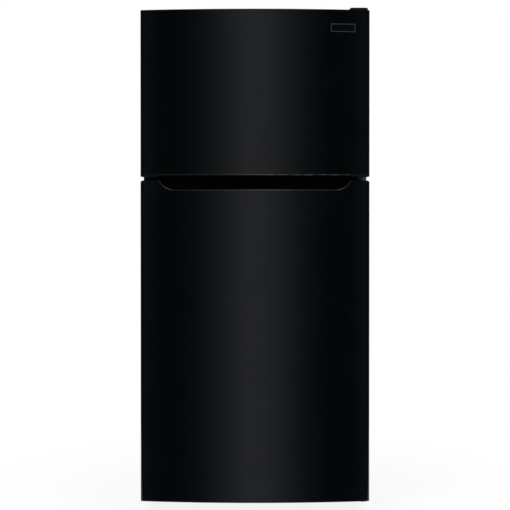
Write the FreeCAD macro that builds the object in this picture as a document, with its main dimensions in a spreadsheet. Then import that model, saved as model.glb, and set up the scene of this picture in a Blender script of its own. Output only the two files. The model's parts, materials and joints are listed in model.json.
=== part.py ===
"""Top-freezer refrigerator: an insulated cabinet with a freezer above a fresh-food compartment.

Millimetres, +Z up, the front faces -Y. The origin is on the floor, under the middle of the overall box.
Driving sizes are in the Size sheet, and places worked out from them are in the At sheet.
"""
import FreeCAD, Part
import math
import os
import re
import sys

import Sketcher
from FreeCAD import Placement, Rotation, Vector

doc = FreeCAD.newDocument("refrigerator")

SIZES = {
    # doors
    "door_width": 762.0,
    "door_bow": 24.0,            # rise of the curved front over its edges
    "door_thickness": 64.0,      # front edge to the back of the door
    "door_corner": 10.0,
    "door_gap": 12.5,            # between the two doors
    "fresh_door_height": 1067.0,
    "freezer_door_height": 552.0,
    "door_bottom_height": 38.0,
    "end_cap": 24.0,
    "handle_cap": 60.0,
    "grip_cap": 40.0,
    "scoop_depth": 30.0,         # how far the grip opening is cut into the fresh-food door
    "scoop_radius": 55.0,
    "scoop_margin": 115.0,       # door edge to the flat floor of the grip opening
    "lip": 5.5,                  # plastic edge that shows below the steel
    "lip_wall": 11.0,
    "lip_round": 3.5,
    "pocket_setback": 44.0,
    "pocket_depth": 15.0,
    "grip_relief": 3.5,
    "grip_margin": 63.0,         # door edge to the relief under the freezer door
    "grip_pocket": 30.0,
    "grip_pocket_margin": 81.0,
    "liner_inset": 1.4,
    "upper_corner": 9.0,         # rounding of the fresh-food door's top corners
    "lower_corner": 3.0,         # rounding of the freezer door's bottom corners
    "badge_margin": 89.4,        # door edge to the middle of the badge
    "badge_drop": 60.6,
    "badge_width": 81.0,
    "badge_height": 27.0,
    "badge_rim": 2.0,
    "badge_rim_rise": 1.8,
    "badge_plate": 1.0,
    "badge_corner": 3.0,
    # seals
    "gasket_gap": 14.0,
    "gasket_width": 20.0,
    "gasket_margin": 7.0,
    "gasket_groove": 4.0,
    "gasket_round": 16.0,
    "seal_clearance": 0.3,
    # cabinet
    "cabinet_inset": 4.0,        # cabinet side inside the door edge
    "cabinet_depth": 663.5,
    "cabinet_rise": 2.0,         # cabinet top over the freezer door top
    "hinge_cover_rise": 8.1,
    "rear_spacer": 6.0,
    "side_wall": 48.0,
    "freezer_side_wall": 55.0,
    "rear_wall": 55.0,
    "top_wall": 55.0,
    "floor_wall": 50.0,
    "underside_height": 60.0,
    "mullion_height": 70.0,
    "flange": 36.0,
    "fold_radius": 5.0,
    "steel": 1.0,
    "door_fit": 0.2,             # between the door steel and what it wraps
    "liner_wall": 2.0,
    "liner_lip": 12.0,
    "liner_round": 12.0,
    "machine_depth": 200.0,
    "machine_height": 250.0,
    "step_wall": 40.0,
    "wrapper_bottom": 30.0,
    # hinges
    "pin_inset": 20.0,
    "pin_setback": 30.0,
    "pin_radius": 4.0,
    "pin_grip": 17.0,
    "running": 0.05,             # radial clearance of a shaft in its bearing
    "bushing_radius": 7.0,
    "hinge_steel": 4.0,
    "top_hinge_steel": 3.0,
    "hinge_half_width": 12.0,
    "hinge_nose": 12.0,
    "hinge_tab": 12.0,
    "top_hinge_reach": 74.0,
    "cover_width": 60.0,
    "cover_reach": 90.0,
    "cover_nose": 22.0,
    "cover_wall": 1.8,
    "cover_corner": 8.0,
    "cover_edge": 2.4,
    "screw_pitch": 20.0,
    "screw_radius": 2.2,
    "screw_head": 4.0,
    "screw_head_height": 2.6,
    "screw_length": 16.0,
    # chassis
    "channel_width": 40.0,
    "channel_sheet": 2.0,
    "channel_bottom": 20.0,
    "channel_setback": 24.0,
    "rail_sheet": 3.0,
    "pan_height": 28.0,
    "roller_radius": 22.0,
    "roller_width": 20.0,
    "roller_setback": 60.0,
    "axle_radius": 4.0,
    "leg_foot_radius": 15.0,
    "leg_foot_height": 9.0,
    "leg_stud_radius": 5.0,
    "leg_stud_top": 55.0,
    "leg_setback": 100.0,
    "leg_nut_height": 4.0,
    "grille_sheet": 8.0,
    "grille_setback": 6.0,
    "grille_bottom": 24.0,
    "grille_top": 56.0,
    "grille_end_gap": 14.0,
    # interior fittings
    "ledge": 8.0,
    "ledge_pitch": 65.0,
    "shelf_front": 122.0,        # cabinet front to the shelves
    "shelf_frame": 14.0,
    "shelf_side": 4.0,
    "glass": 4.0,
    "glass_seat": 6.0,
    "crisper_height": 190.0,
    "crisper_front": 126.0,
    "crisper_wall": 2.5,
    "crisper_gap": 3.0,
    "crisper_side_gap": 30.0,    # room for the wheels and slides beside a drawer
    "crisper_handle": 12.0,
    "crisper_round": 14.0,
    "fascia_height": 28.0,
    "divider_half": 4.0,
    "slider_width": 16.0,
    "slider_travel": 36.0,
    "slider_depth": 5.0,
    "crisper_pull_half": 60.0,
    "dyke_side_gap": 29.0,       # fresh-food side wall to the ridges of the door liners
    "dyke_width": 22.0,
    "dyke_depth": 45.0,          # cabinet front to the ridge tops
    "dyke_round": 18.0,
    "fresh_dyke_bottom": 18.0,
    "fresh_dyke_top": 55.0,
    "freezer_dyke_margin": 25.0,
    "bin_depth": 88.0,           # cabinet front to the bin fronts
    "gallon_bin_depth": 100.0,
    "bin_height": 82.0,
    "gallon_bin_height": 120.0,
    "bin_wall": 2.5,
    "bin_round": 16.0,
    "bin_side_gap": 0.3,
    "bin_ledge": 8.0,
    "gallon_bin_height_above_floor": 40.0,
    "upper_bin_drop": 250.0,     # dairy shelf to the floor of the bin below it
    "dairy_drop": 171.25,        # top ridge of the door liner to the dairy shelf
    "dairy_shelf": 4.0,
    "dairy_height": 86.0,
    "dairy_depth": 82.0,
    "dairy_pin_radius": 3.0,
    "dairy_pin_depth": 10.0,
    "dairy_wall": 2.2,
    "rack_height": 70.0,
    "rack_depth": 76.0,
    "rack_low": 48.0,
    "rack_high_drop": 150.25,    # top ridge of the freezer door liner to the upper rack
    "control_half": 150.0,
    "control_depth": 140.0,
    "control_height": 38.0,
    "control_setback": 150.0,
    "knob_radius": 17.0,
    "knob_length": 13.0,
    "knob_shaft": 3.0,
    "knob_offset": 85.0,
    "knob_gap": 0.4,
    "switch_inset": 39.0,
    "switch_radius": 4.0,
    "switch_travel": 6.0,
    "switch_body": 24.0,
    # freezer interior
    "evaporator_space": 80.0,
    "cover_sheet": 3.0,
    "louver_length": 60.0,
    "louver_height": 6.0,
    "wire_shelf_height": 205.0,
    "wire_shelf_front": 92.0,
    "wire_radius": 1.7,
    "wire_frame_radius": 3.0,
    "coil_radius": 4.0,
    "coil_inset": 72.0,
    "coil_pitch": 28.0,
    "fin_depth": 44.0,
    "fan_radius": 48.0,
    "fan_hub": 14.0,
    "fan_depth": 16.0,
    "fan_blade_chord": 18.0,
    "condenser_fan_radius": 62.0,
    # machine compartment
    "compressor_radius": 68.0,
    "compressor_height": 150.0,
    "compressor_inset": 187.0,
    "mount_height": 16.0,
    "mount_radius": 11.0,
    "condenser_margin": 81.0,    # cabinet side to the condenser bends
    "condenser_fan_gap": 44.0,
    "fan_offset": 60.0,
    "condenser_radius": 3.0,
    "condenser_pitch": 24.0,
    "drip_pan_height": 30.0,
    "rear_cover_sheet": 1.5,
    "gland_radius": 11.0,
}

GRILLE_SLOTS = 4
WIRE_COUNT = 25
COIL_ROWS = 6
FIN_COUNT = 22
CONDENSER_LAYERS = 3
CONDENSER_ROWS = 6
REAR_SLOT_ROWS = 7
SLIDER_STARTS = ("-170", "130")

PLACES = {
    "door_half": "door_width / 2",
    "cabinet_width": "door_width - 2 * cabinet_inset",
    "cab_half": "cabinet_width / 2",
    "scoop_floor_half": "door_half - scoop_margin",
    "grip_half": "door_half - grip_margin",
    "grip_pocket_half": "door_half - grip_pocket_margin",
    "badge_offset": "door_half - badge_margin",
    "overall_depth": "door_bow + door_thickness + gasket_gap + cabinet_depth + rear_spacer",
    "y_front": "-overall_depth / 2",
    "y_edge": "y_front + door_bow",
    "y_door_back": "y_edge + door_thickness",
    "y_cab": "y_door_back + gasket_gap",
    "y_back": "y_cab + cabinet_depth",
    "y_rear": "y_back + rear_spacer",
    "bow_radius": "(door_half^2 + door_bow^2) / (2 * door_bow)",
    "bow_center": "y_front + bow_radius",
    "z_fresh_top": "door_bottom_height + fresh_door_height",
    "z_freezer_bottom": "z_fresh_top + door_gap",
    "z_freezer_top": "z_freezer_bottom + freezer_door_height",
    "z_cab_top": "z_freezer_top + cabinet_rise",
    "z_top": "z_cab_top + hinge_cover_rise",
    "z_mullion": "z_fresh_top + door_gap / 2",
    "z_ceiling": "z_mullion - mullion_height / 2",
    "z_freezer_floor": "z_mullion + mullion_height / 2",
    "z_floor": "underside_height + floor_wall",
    "z_freezer_ceiling": "z_cab_top - top_wall",
    "fresh_half": "cab_half - side_wall",
    "freezer_half": "cab_half - freezer_side_wall",
    "rim_half": "cab_half - flange",
    "y_liner_back": "y_back - rear_wall",
    "y_machine": "y_back - machine_depth",
    "y_step": "y_machine - step_wall",
    "z_step": "machine_height + step_wall",
    "pin_x": "door_half - pin_inset",
    "pin_y": "y_edge + pin_setback",
    "gasket_half": "pin_x - 3",
    "y_gasket": "y_door_back + liner_wall",
    "z_scoop": "z_fresh_top - scoop_depth",
    "z_badge": "z_freezer_top - badge_drop",
    "dyke_outer": "fresh_half - dyke_side_gap",
    "dyke_inner": "dyke_outer - dyke_width",
    "z_crisper_top": "z_floor + crisper_height",
    "z_cover": "z_crisper_top + fascia_height - shelf_frame",
    "y_crisper": "y_cab + crisper_front",
    "y_crisper_back": "y_step - liner_round - 1",
    "y_shelf": "y_cab + shelf_front",
    "y_shelf_back": "y_liner_back - crisper_gap",
    "shelf_half": "fresh_half - shelf_side / 2",
    "z_fresh_dyke_top": "z_ceiling - fresh_dyke_top",
    "z_dairy": "z_fresh_dyke_top - dairy_drop",
    "z_gallon_bin": "z_floor + gallon_bin_height_above_floor",
    "z_upper_bin": "z_dairy - upper_bin_drop",
    "z_middle_bin": "(z_gallon_bin + gallon_bin_height + z_upper_bin - bin_height) / 2",
    "z_freezer_dyke_low": "z_freezer_floor + freezer_dyke_margin",
    "z_freezer_dyke_top": "z_freezer_ceiling - freezer_dyke_margin",
    "z_rack_low": "z_freezer_dyke_low + rack_low",
    "z_rack_high": "z_freezer_dyke_top - rack_high_drop",
    "z_dairy_pin": "z_dairy + dairy_height - 8",
    "y_dairy_pin": "y_cab + 10",
    "y_evaporator": "y_liner_back - evaporator_space",
    "z_wire_shelf": "z_freezer_floor + wire_shelf_height",
    "channel_x": "cab_half - steel - channel_width",
    "channel_mid": "cab_half - steel - channel_width / 2 - 1",
    "grille_half": "channel_x - grille_end_gap",
    "y_rail": "y_cab + channel_setback",
    "y_roller": "y_back - roller_setback",
    "y_leg": "y_cab + leg_setback",
    "y_control": "y_cab + control_setback",
    "z_knob": "z_ceiling - control_height / 2",
    "z_switch": "z_ceiling - switch_body / 2",
    "y_compressor": "y_machine + machine_depth / 2",
    "z_compressor": "pan_height + channel_sheet + mount_height",
    "z_shelf_low": "z_cover + 3.5 * ledge_pitch",
    "z_shelf_middle": "z_cover + 5.5 * ledge_pitch",
    "z_shelf_high": "z_cover + 7.5 * ledge_pitch",
    "z_slider": "z_cover",
    "crisper_outer": "fresh_half - crisper_side_gap",
    "switch_offset": "fresh_half - switch_inset",
    "cover_left": "cab_half - cover_width - 1",
    "z_fan": "z_freezer_ceiling - 110",
    "z_coil": "z_freezer_floor + 70",
    "x_fan": "-fan_offset",
    "z_fan_low": "z_compressor + 90",
    "condenser_left": "-cab_half + condenser_margin",
    "condenser_right": "x_fan - condenser_fan_gap",
    "condenser_half": "(condenser_right - condenser_left) / 2",
    "x_condenser": "(condenser_left + condenser_right) / 2",
    "compressor_offset": "cab_half - compressor_inset",
    "coil_half": "freezer_half - coil_inset",
}


# ---------------------------------------------------------------- sheets and expressions

def fill_sheet(sheet, cells):
    """Writes one alias and its value or formula on each row."""
    for row, (alias, content) in enumerate(cells.items(), 1):
        sheet.set(f"A{row}", alias)
        sheet.set(f"B{row}", content)
        sheet.setAlias(f"B{row}", alias)


def ex(text):
    """Turns the plain names of an expression into references to the two sheets."""
    owner = lambda name: f"Size.{name}" if name in SIZES else f"At.{name}" if name in PLACES else name
    return re.sub(r"[a-z][a-z_]*", lambda found: owner(found[0]), str(text))


size_sheet = doc.addObject("Spreadsheet::Sheet", "Size")
fill_sheet(size_sheet, {alias: str(number) for alias, number in SIZES.items()})
place_sheet = doc.addObject("Spreadsheet::Sheet", "At")
fill_sheet(place_sheet, {alias: "=" + ex(formula) for alias, formula in PLACES.items()})
doc.recompute()


def value(text):
    """The number that an expression comes to now."""
    found = size_sheet.evalExpression(ex(text))
    return float(getattr(found, "Value", found))


# ---------------------------------------------------------------- solids bound to the sheets

SUBPARTS = {}


def subpart(label, shape_object):
    """Marks an object as a sub-part, which is written to a file of its own."""
    shape_object.Label = label
    SUBPARTS[label] = shape_object
    return shape_object


def bind(shape_object, prop, text):
    shape_object.setExpression(prop, ex(text))


def place(shape_object, x, y, z):
    for axis, text in zip("xyz", (x, y, z)):
        bind(shape_object, f"Placement.Base.{axis}", text)
    return shape_object


def box(name, x, y, z):
    """A block between pairs of places along each axis."""
    block = doc.addObject("Part::Box", name)
    for prop, (low, high) in zip(("Length", "Width", "Height"), (x, y, z)):
        bind(block, prop, f"({high}) - ({low})")
    return place(block, x[0], y[0], z[0])


AXES = {"x": Rotation(Vector(0, 1, 0), 90), "y": Rotation(Vector(1, 0, 0), -90), "z": Rotation()}


def rod(name, axis, radius, start, length):
    """A cylinder from its start point along an axis."""
    cylinder = doc.addObject("Part::Cylinder", name)
    cylinder.Placement = Placement(Vector(), AXES[axis])
    bind(cylinder, "Radius", radius)
    bind(cylinder, "Height", length)
    return place(cylinder, *start)


def fuse(name, shapes):
    joined = doc.addObject("Part::MultiFuse", name)
    joined.Shapes = shapes
    joined.Refine = True
    return joined


def group(name, shapes):
    """Separate solids that share one sub-part."""
    compound = doc.addObject("Part::Compound", name)
    compound.Links = shapes
    return compound


def cut(name, base, tools):
    result = doc.addObject("Part::Cut", name)
    result.Base = base
    result.Tool = tools[0] if len(tools) == 1 else group(name + "Tools", tools)
    return result


def common(name, first, second):
    result = doc.addObject("Part::Common", name)
    result.Base = first
    result.Tool = second
    return result


def rounded(name, base, radius, chosen):
    """A Part::Fillet on the edges that a test picks."""
    doc.recompute()
    amount = value(radius)
    edges = [i for i, edge in enumerate(base.Shape.Edges, 1) if chosen(edge)]
    fillet = doc.addObject("Part::Fillet", name)
    fillet.Base = base
    fillet.Edges = [(i, amount, amount) for i in edges]
    return fillet


def runs_along(edge, axis):
    """True for a straight edge along an axis."""
    box_of = edge.BoundBox
    spans = {"x": box_of.XLength, "y": box_of.YLength, "z": box_of.ZLength}
    others = sum(length for name, length in spans.items() if name != axis)
    return spans[axis] > 0.01 and others < 0.001


def near(number, text):
    return abs(number - value(text)) < 0.01


def mirrored_pair(name, make):
    """One piece on the right (side 1) and its twin on the left (side -1)."""
    return [make(f"{name}{word}", side) for word, side in (("Right", 1), ("Left", -1))]


# ---------------------------------------------------------------- sketches and bodies

def origin_plane(body, role):
    return next(feature for feature in body.Origin.OriginFeatures if feature.Role == role)


def new_sketch(body, name, role, offset="0"):
    sketch = body.newObject("Sketcher::SketchObject", name)
    sketch.AttachmentSupport = [(origin_plane(body, role), "")]
    sketch.MapMode = "FlatFace"
    bind(sketch, "AttachmentOffset.Base.z", offset)
    return sketch


def pin_point(sketch, geometry, end, point):
    """Fixes one end of a line or arc at a pair of expressions."""
    for kind, text in zip(("DistanceX", "DistanceY"), point):
        index = sketch.addConstraint(Sketcher.Constraint(kind, -1, 1, geometry, end, value(text)))
        bind(sketch, f"Constraints[{index}]", text)


def outline(sketch, corners):
    """A closed outline. A corner is (x, y), or (x, y, radius, side) where an arc leads to the next one."""
    spots = [Vector(value(c[0]), value(c[1]), 0) for c in corners]
    count = len(corners)
    for i, corner in enumerate(corners):
        start, end = spots[i], spots[(i + 1) % count]
        if len(corner) == 2:
            sketch.addGeometry(Part.LineSegment(start, end))
            continue
        radius = value(corner[2])
        across = end - start
        sagitta = radius - math.sqrt(radius ** 2 - (across.Length / 2) ** 2)
        bulge = Vector(across.y, -across.x, 0).normalize() * sagitta * corner[3]
        sketch.addGeometry(Part.Arc(start, (start + end) / 2 + bulge, end))
    for i, corner in enumerate(corners):
        is_arc = len(corner) == 4
        forward = not is_arc or sketch.Geometry[i].StartPoint.distanceToPoint(spots[i]) < 0.001
        first, last = (1, 2) if forward else (2, 1)
        pin_point(sketch, i, first, corner[:2])
        if is_arc:
            pin_point(sketch, i, last, corners[(i + 1) % count][:2])
            index = sketch.addConstraint(Sketcher.Constraint("Radius", i, value(corner[2])))
            bind(sketch, f"Constraints[{index}]", corner[2])
        elif len(corners[(i + 1) % count]) == 2:
            sketch.addConstraint(Sketcher.Constraint("Coincident", i, 2, (i + 1) % count, 1))
        else:
            pin_point(sketch, i, 2, corners[(i + 1) % count][:2])


def padded(name, role, offset, length, corners, midplane=False):
    """A PartDesign body with one sketch padded along its plane's normal."""
    body = doc.addObject("PartDesign::Body", name)
    sketch = new_sketch(body, name + "Outline", role, offset)
    outline(sketch, corners)
    pad = body.newObject("PartDesign::Pad", name + "Pad")
    pad.Profile = sketch
    pad.Midplane = midplane
    bind(pad, "Length", length)
    return body


def revolved(name, corners, role="XZ_Plane"):
    """A PartDesign body turned about its own Z axis from a profile of (radius, height) corners."""
    body = doc.addObject("PartDesign::Body", name)
    sketch = new_sketch(body, name + "Profile", role)
    outline(sketch, corners)
    turn = body.newObject("PartDesign::Revolution", name + "Turn")
    turn.Profile = sketch
    turn.ReferenceAxis = (sketch, ["V_Axis"])
    turn.Angle = 360
    return body


def round_body(body, radius, chosen):
    """Adds a PartDesign fillet to the picked edges of a body."""
    doc.recompute()
    base = body.Tip
    names = [f"Edge{i}" for i, edge in enumerate(base.Shape.Edges, 1) if chosen(edge)]
    fillet = body.newObject("PartDesign::Fillet", body.Name + f"Round{len(body.Group)}")
    fillet.Base = (base, names)
    bind(fillet, "Radius", radius)
    return body


def tray(name, x, y, z, wall, radius, open_face="top"):
    """An open tray: a padded block with rounded corners, hollowed out by a wall thickness."""
    (x0, x1), (y0, y1), (z0, z1) = x, y, z
    corners = [(x0, y0), (x1, y0), (x1, y1), (x0, y1)]
    body = padded(name, "XY_Plane", z0, f"({z1}) - ({z0})", corners)
    round_body(body, radius, lambda edge: runs_along(edge, "z"))
    doc.recompute()
    base = body.Tip
    lids = [f"Face{i}" for i, face in enumerate(base.Shape.Faces, 1)
            if near(face.BoundBox.ZMin, z1) and face.BoundBox.ZLength < 0.001]
    shell = body.newObject("PartDesign::Thickness", name + "Hollow")
    shell.Base = (base, lids)
    shell.Reversed = True
    bind(shell, "Value", wall)
    return body


# ---------------------------------------------------------------- doors

def door_prism(name, inset, bottom, top, back="y_door_back"):
    """The door's plan, curved in front, drawn smaller by an inset and raised between two heights."""
    half = f"(door_half - ({inset}))"
    radius = f"(bow_radius - ({inset}))"
    shoulder = f"bow_center - sqrt({radius}^2 - {half}^2)"
    corners = [
        (f"-{half}", back),
        (f"-{half}", shoulder, radius, 1),
        (half, shoulder),
        (half, back),
    ]
    body = padded(name, "XY_Plane", bottom, f"({top}) - ({bottom})", corners)
    edge_y = value(shoulder)
    at_shoulder = lambda edge: runs_along(edge, "z") and abs(edge.BoundBox.YMax - edge_y) < 0.01
    if value(f"door_corner - ({inset})") > 0.5:
        round_body(body, f"door_corner - ({inset})", at_shoulder)
    return body


def door_skin(name, bottom, top, envelope, openings=(), wall="steel"):
    """Painted steel wrapped round the front and sides of a door."""
    outer = common(name + "Sheet", door_prism(name + "Outer", "0", bottom, top), envelope)
    inner = door_prism(name + "Inner", wall, f"{bottom} - 1", f"{top} + 1", "y_door_back + 1")
    return cut(name, outer, [inner, *openings])


def door_envelope(name, bottom, top, corner, corner_height):
    """The door's outline seen from the front, with one pair of corners rounded."""
    block = box(name + "Block", ("-door_half", "door_half"), ("y_front - 1", "y_door_back + 1"), (bottom, top))
    at_corner = lambda edge: runs_along(edge, "y") and near(edge.BoundBox.ZMin, corner_height)
    return rounded(name, block, corner, at_corner)


def on_front(edge):
    """True for an edge that lies on the curved front of a door."""
    center, radius = value("bow_center"), value("bow_radius")
    return all(abs(math.hypot(v.X, v.Y - center) - radius) < 0.02 for v in edge.Vertexes)


def lowest(edge):
    return min(v.Z for v in edge.Vertexes)


def highest(edge):
    return max(v.Z for v in edge.Vertexes)


def scoop(name, grow, back):
    """The grip opening in the top of the fresh-food door, seen from the front: a floor with round ends."""
    reach = f"sqrt((scoop_radius + {grow})^2 - (scoop_radius - scoop_depth)^2)"
    floor = f"z_scoop - {grow}"
    corners = [
        (f"-scoop_floor_half - {reach}", "z_fresh_top + 1"),
        (f"-scoop_floor_half - {reach}", "z_fresh_top", f"scoop_radius + {grow}", 1),
        ("-scoop_floor_half", floor),
        ("scoop_floor_half", floor, f"scoop_radius + {grow}", 1),
        (f"scoop_floor_half + {reach}", "z_fresh_top"),
        (f"scoop_floor_half + {reach}", "z_fresh_top + 1"),
    ]
    # the XZ plane's normal points to -Y, so the pad starts at the back of the opening
    return padded(name, "XZ_Plane", f"-({back})", f"({back}) - (y_front - 1)", corners)


def finger_pocket(name, half, bottom, top):
    """Room behind a grip's lip, as wide as the grip, with a front wall that follows the door's curve."""
    room = door_prism(name + "Room", "lip_wall", bottom, top)
    limit = box(name + "Limit", (f"-{half}", half), ("y_front", "y_edge + pocket_setback"), (bottom, top))
    return common(name, room, limit)


def pin_bore(name, z_start):
    return rod(name, "z", "bushing_radius", ("pin_x", "pin_y", z_start), "pin_grip + 1")


def bushing(name, z_start):
    """A nylon sleeve in the door that turns on a hinge pin."""
    sleeve = rod(name + "Sleeve", "z", "bushing_radius", ("pin_x", "pin_y", z_start), "pin_grip + 1")
    bore = rod(name + "Bore", "z", "pin_radius + running", ("pin_x", "pin_y", f"{z_start} - 1"), "pin_grip + 3")
    return cut(name, sleeve, [bore])


def gasket(name, z_low, z_high):
    """Magnetic seal: a ring with a folding groove between its base and its face."""
    outer_x = ("-gasket_half", "gasket_half")
    inner_x = ("-gasket_half + gasket_width", "gasket_half - gasket_width")
    depth = ("y_gasket", "y_cab - seal_clearance")
    inner_z = (f"{z_low} + gasket_width", f"{z_high} - gasket_width")
    across = lambda edge: runs_along(edge, "y")
    outer = rounded(name + "Outer", box(name + "Block", outer_x, depth, (z_low, z_high)), "gasket_round", across)
    middle = "(y_gasket + y_cab) / 2"
    groove_y = (f"{middle} - gasket_groove / 2", f"{middle} + gasket_groove / 2")
    band = box(name + "Band", ("-gasket_half - 1", "gasket_half + 1"), groove_y, (f"{z_low} - 1", f"{z_high} + 1"))
    core = box(name + "Core", ("-gasket_half + gasket_groove", "gasket_half - gasket_groove"), groove_y,
               (f"{z_low} + gasket_groove", f"{z_high} - gasket_groove"))
    groove = cut(name + "Groove", band, [core])
    hole = box(name + "Hole", inner_x, ("y_gasket - 1", "y_cab"), inner_z)
    return cut(name, outer, [hole, groove])


def door_liner(name, z_bottom, z_top, dyke_bottom, dyke_top, ledges, extras=(), holes=()):
    """Moulded inner panel with a raised ridge all round that carries the bins."""
    plate = box(name + "Plate", ("-door_half + liner_inset", "door_half - liner_inset"),
                ("y_door_back", "y_gasket"), (f"{z_bottom} + liner_inset", f"{z_top} - liner_inset"))
    depth = ("y_gasket", "y_cab + dyke_depth")
    across = lambda edge: runs_along(edge, "y")
    ridge = rounded(name + "Ridge", box(name + "RidgeBlock", ("-dyke_outer", "dyke_outer"), depth,
                                        (dyke_bottom, dyke_top)), "dyke_round", across)
    well = box(name + "Well", ("-dyke_inner", "dyke_inner"), ("y_gasket - 1", "y_cab + dyke_depth + 1"),
               (f"{dyke_bottom} + dyke_width", f"{dyke_top} - dyke_width"))
    ring = cut(name + "Ring", ridge, [well])
    bosses = []
    for level, height in enumerate(ledges):
        for word, low, high in (("Left", "-dyke_inner", "-dyke_inner + bin_ledge"),
                                ("Right", "dyke_inner - bin_ledge", "dyke_inner")):
            bosses.append(box(f"{name}Ledge{level}{word}", (low, high), ("y_gasket", "y_cab + dyke_depth"),
                              (f"{height} - bin_ledge", height)))
    body = fuse(name + "Body", [plate, ring, *bosses, *extras])
    return cut(name, body, list(holes)) if holes else body


def door_bin(name, depth, bottom, height):
    """A rack that sits between the ridges, on their ledges."""
    x = ("-dyke_inner + bin_side_gap", "dyke_inner - bin_side_gap")
    return tray(name, x, ("y_gasket + 1", f"y_cab + {depth}"), (bottom, f"{bottom} + {height}"),
                "bin_wall", "bin_round")


def build_freezer_door():
    steel_bottom = "z_freezer_bottom + grip_relief + lip"
    envelope = door_envelope("FreezerEnvelope", "z_freezer_bottom", "z_freezer_top", "lower_corner",
                             "z_freezer_bottom")
    subpart("freezer_door_skin", door_skin("FreezerSkin", steel_bottom, "z_freezer_top", envelope))
    skin_room = door_skin("FreezerSkinRoom", steel_bottom, "z_freezer_top", envelope, wall="steel + door_fit")

    top_block = door_prism("FreezerTopCapBlock", "steel + door_fit", "z_freezer_top - end_cap", "z_freezer_top")
    subpart("freezer_door_top_cap", cut("FreezerTopCap", top_block,
                                        [pin_bore("FreezerTopBore", "z_freezer_top - pin_grip - 1")]))

    grip_prism = door_prism("GripPrism", "0", "z_freezer_bottom", "z_freezer_bottom + grip_cap")
    grip_block = common("GripBlock", grip_prism, envelope)
    relief = box("GripRelief", ("-grip_half", "grip_half"), ("y_front - 1", "y_edge + pocket_setback"),
                 ("z_freezer_bottom - 1", "z_freezer_bottom + grip_relief"))
    pocket = finger_pocket("GripPocket", "grip_pocket_half", "z_freezer_bottom - 1", "z_freezer_bottom + grip_pocket")
    grip = cut("GripCap", grip_block, [skin_room, relief, pocket, pin_bore("GripBore", "z_freezer_bottom")])
    relief_height = "z_freezer_bottom + grip_relief"
    front_lip = lambda edge: on_front(edge) and near(lowest(edge), relief_height) \
        and near(highest(edge), relief_height)
    subpart("freezer_door_grip", rounded("FreezerGrip", grip, "lip_round", front_lip))

    subpart("freezer_door_foam", door_prism("FreezerDoorFoam", "steel + door_fit", "z_freezer_bottom + grip_cap",
                                            "z_freezer_top - end_cap"))
    dyke = ("z_freezer_dyke_low", "z_freezer_dyke_top")
    levels = ["z_rack_low", "z_rack_high"]
    subpart("freezer_door_liner", door_liner("FreezerDoorLiner", "z_freezer_bottom", "z_freezer_top", *dyke, levels))
    racks = [door_bin(f"FreezerRack{i}", "rack_depth", level, "rack_height") for i, level in enumerate(levels)]
    subpart("freezer_door_racks", group("FreezerRacks", racks))
    subpart("freezer_door_gasket", gasket("FreezerGasket", "z_freezer_bottom + gasket_margin",
                                          "z_freezer_top - 2 * gasket_margin + 2"))
    subpart("freezer_door_bushings", group("FreezerBushings", [
        bushing("FreezerTopBushing", "z_freezer_top - pin_grip - 1"),
        bushing("FreezerLowBushing", "z_freezer_bottom"),
    ]))


def build_fresh_door():
    opening = scoop("SkinScoop", "lip", "y_edge + door_thickness + 2")
    envelope = door_envelope("FreshEnvelope", "door_bottom_height", "z_fresh_top", "upper_corner", "z_fresh_top")
    subpart("fresh_food_door_skin",
            door_skin("FreshSkin", "door_bottom_height", "z_fresh_top", envelope, [opening]))
    skin_room = door_skin("FreshSkinRoom", "door_bottom_height", "z_fresh_top", envelope, [opening],
                          "steel + door_fit")

    low_block = door_prism("FreshLowCapBlock", "steel + door_fit", "door_bottom_height", "door_bottom_height + end_cap")
    subpart("fresh_food_door_bottom_cap", cut("FreshLowCap", low_block,
                                              [pin_bore("FreshLowBore", "door_bottom_height")]))

    prism = door_prism("HandlePrism", "0", "z_fresh_top - handle_cap", "z_fresh_top")
    block = common("HandleBlock", prism, envelope)
    pocket = finger_pocket("HandlePocket", "scoop_floor_half", "z_scoop - pocket_depth", "z_fresh_top + 1")
    mouth = scoop("HandleScoop", "0", "y_edge + pocket_setback")
    handle = cut("HandleCap", block, [skin_room, mouth, pocket, pin_bore("HandleBore", "z_fresh_top - pin_grip - 1")])
    front_lip = lambda edge: on_front(edge) and near(lowest(edge), "z_scoop")
    subpart("fresh_food_door_handle", rounded("FreshHandle", handle, "lip_round", front_lip))

    subpart("fresh_food_door_foam", door_prism("FreshDoorFoam", "steel + door_fit", "door_bottom_height + end_cap",
                                               "z_fresh_top - handle_cap"))
    dyke = ("z_floor + fresh_dyke_bottom", "z_fresh_dyke_top")
    levels = ["z_gallon_bin", "z_middle_bin", "z_upper_bin"]
    dairy_floor = box("DairyFloor", ("-dyke_inner", "dyke_inner"), ("y_gasket", "y_cab + dairy_depth"),
                      ("z_dairy - dairy_shelf", "z_dairy"))
    pin_holes = [rod(f"DairyHole{i}", "x", "dairy_pin_radius + running", (start, "y_dairy_pin", "z_dairy_pin"),
                     "dairy_pin_depth") for i, start in enumerate(("-dyke_inner - dairy_pin_depth", "dyke_inner"))]
    subpart("fresh_food_door_liner", door_liner("FreshDoorLiner", "door_bottom_height", "z_fresh_top", *dyke,
                                                levels, [dairy_floor], pin_holes))
    subpart("door_bins", group("DoorBins", [
        door_bin("GallonBin", "gallon_bin_depth", levels[0], "gallon_bin_height"),
        door_bin("MiddleBin", "bin_depth", levels[1], "bin_height"),
        door_bin("UpperBin", "bin_depth", levels[2], "bin_height"),
    ]))
    subpart("fresh_food_door_gasket", gasket("FreshGasket", "underside_height + gasket_margin",
                                             "z_fresh_top - gasket_margin"))
    subpart("fresh_food_door_bushings", group("FreshBushings", [
        bushing("FreshTopBushing", "z_fresh_top - pin_grip - 1"),
        bushing("FreshLowBushing", "door_bottom_height"),
    ]))
    build_dairy_lid()


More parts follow.
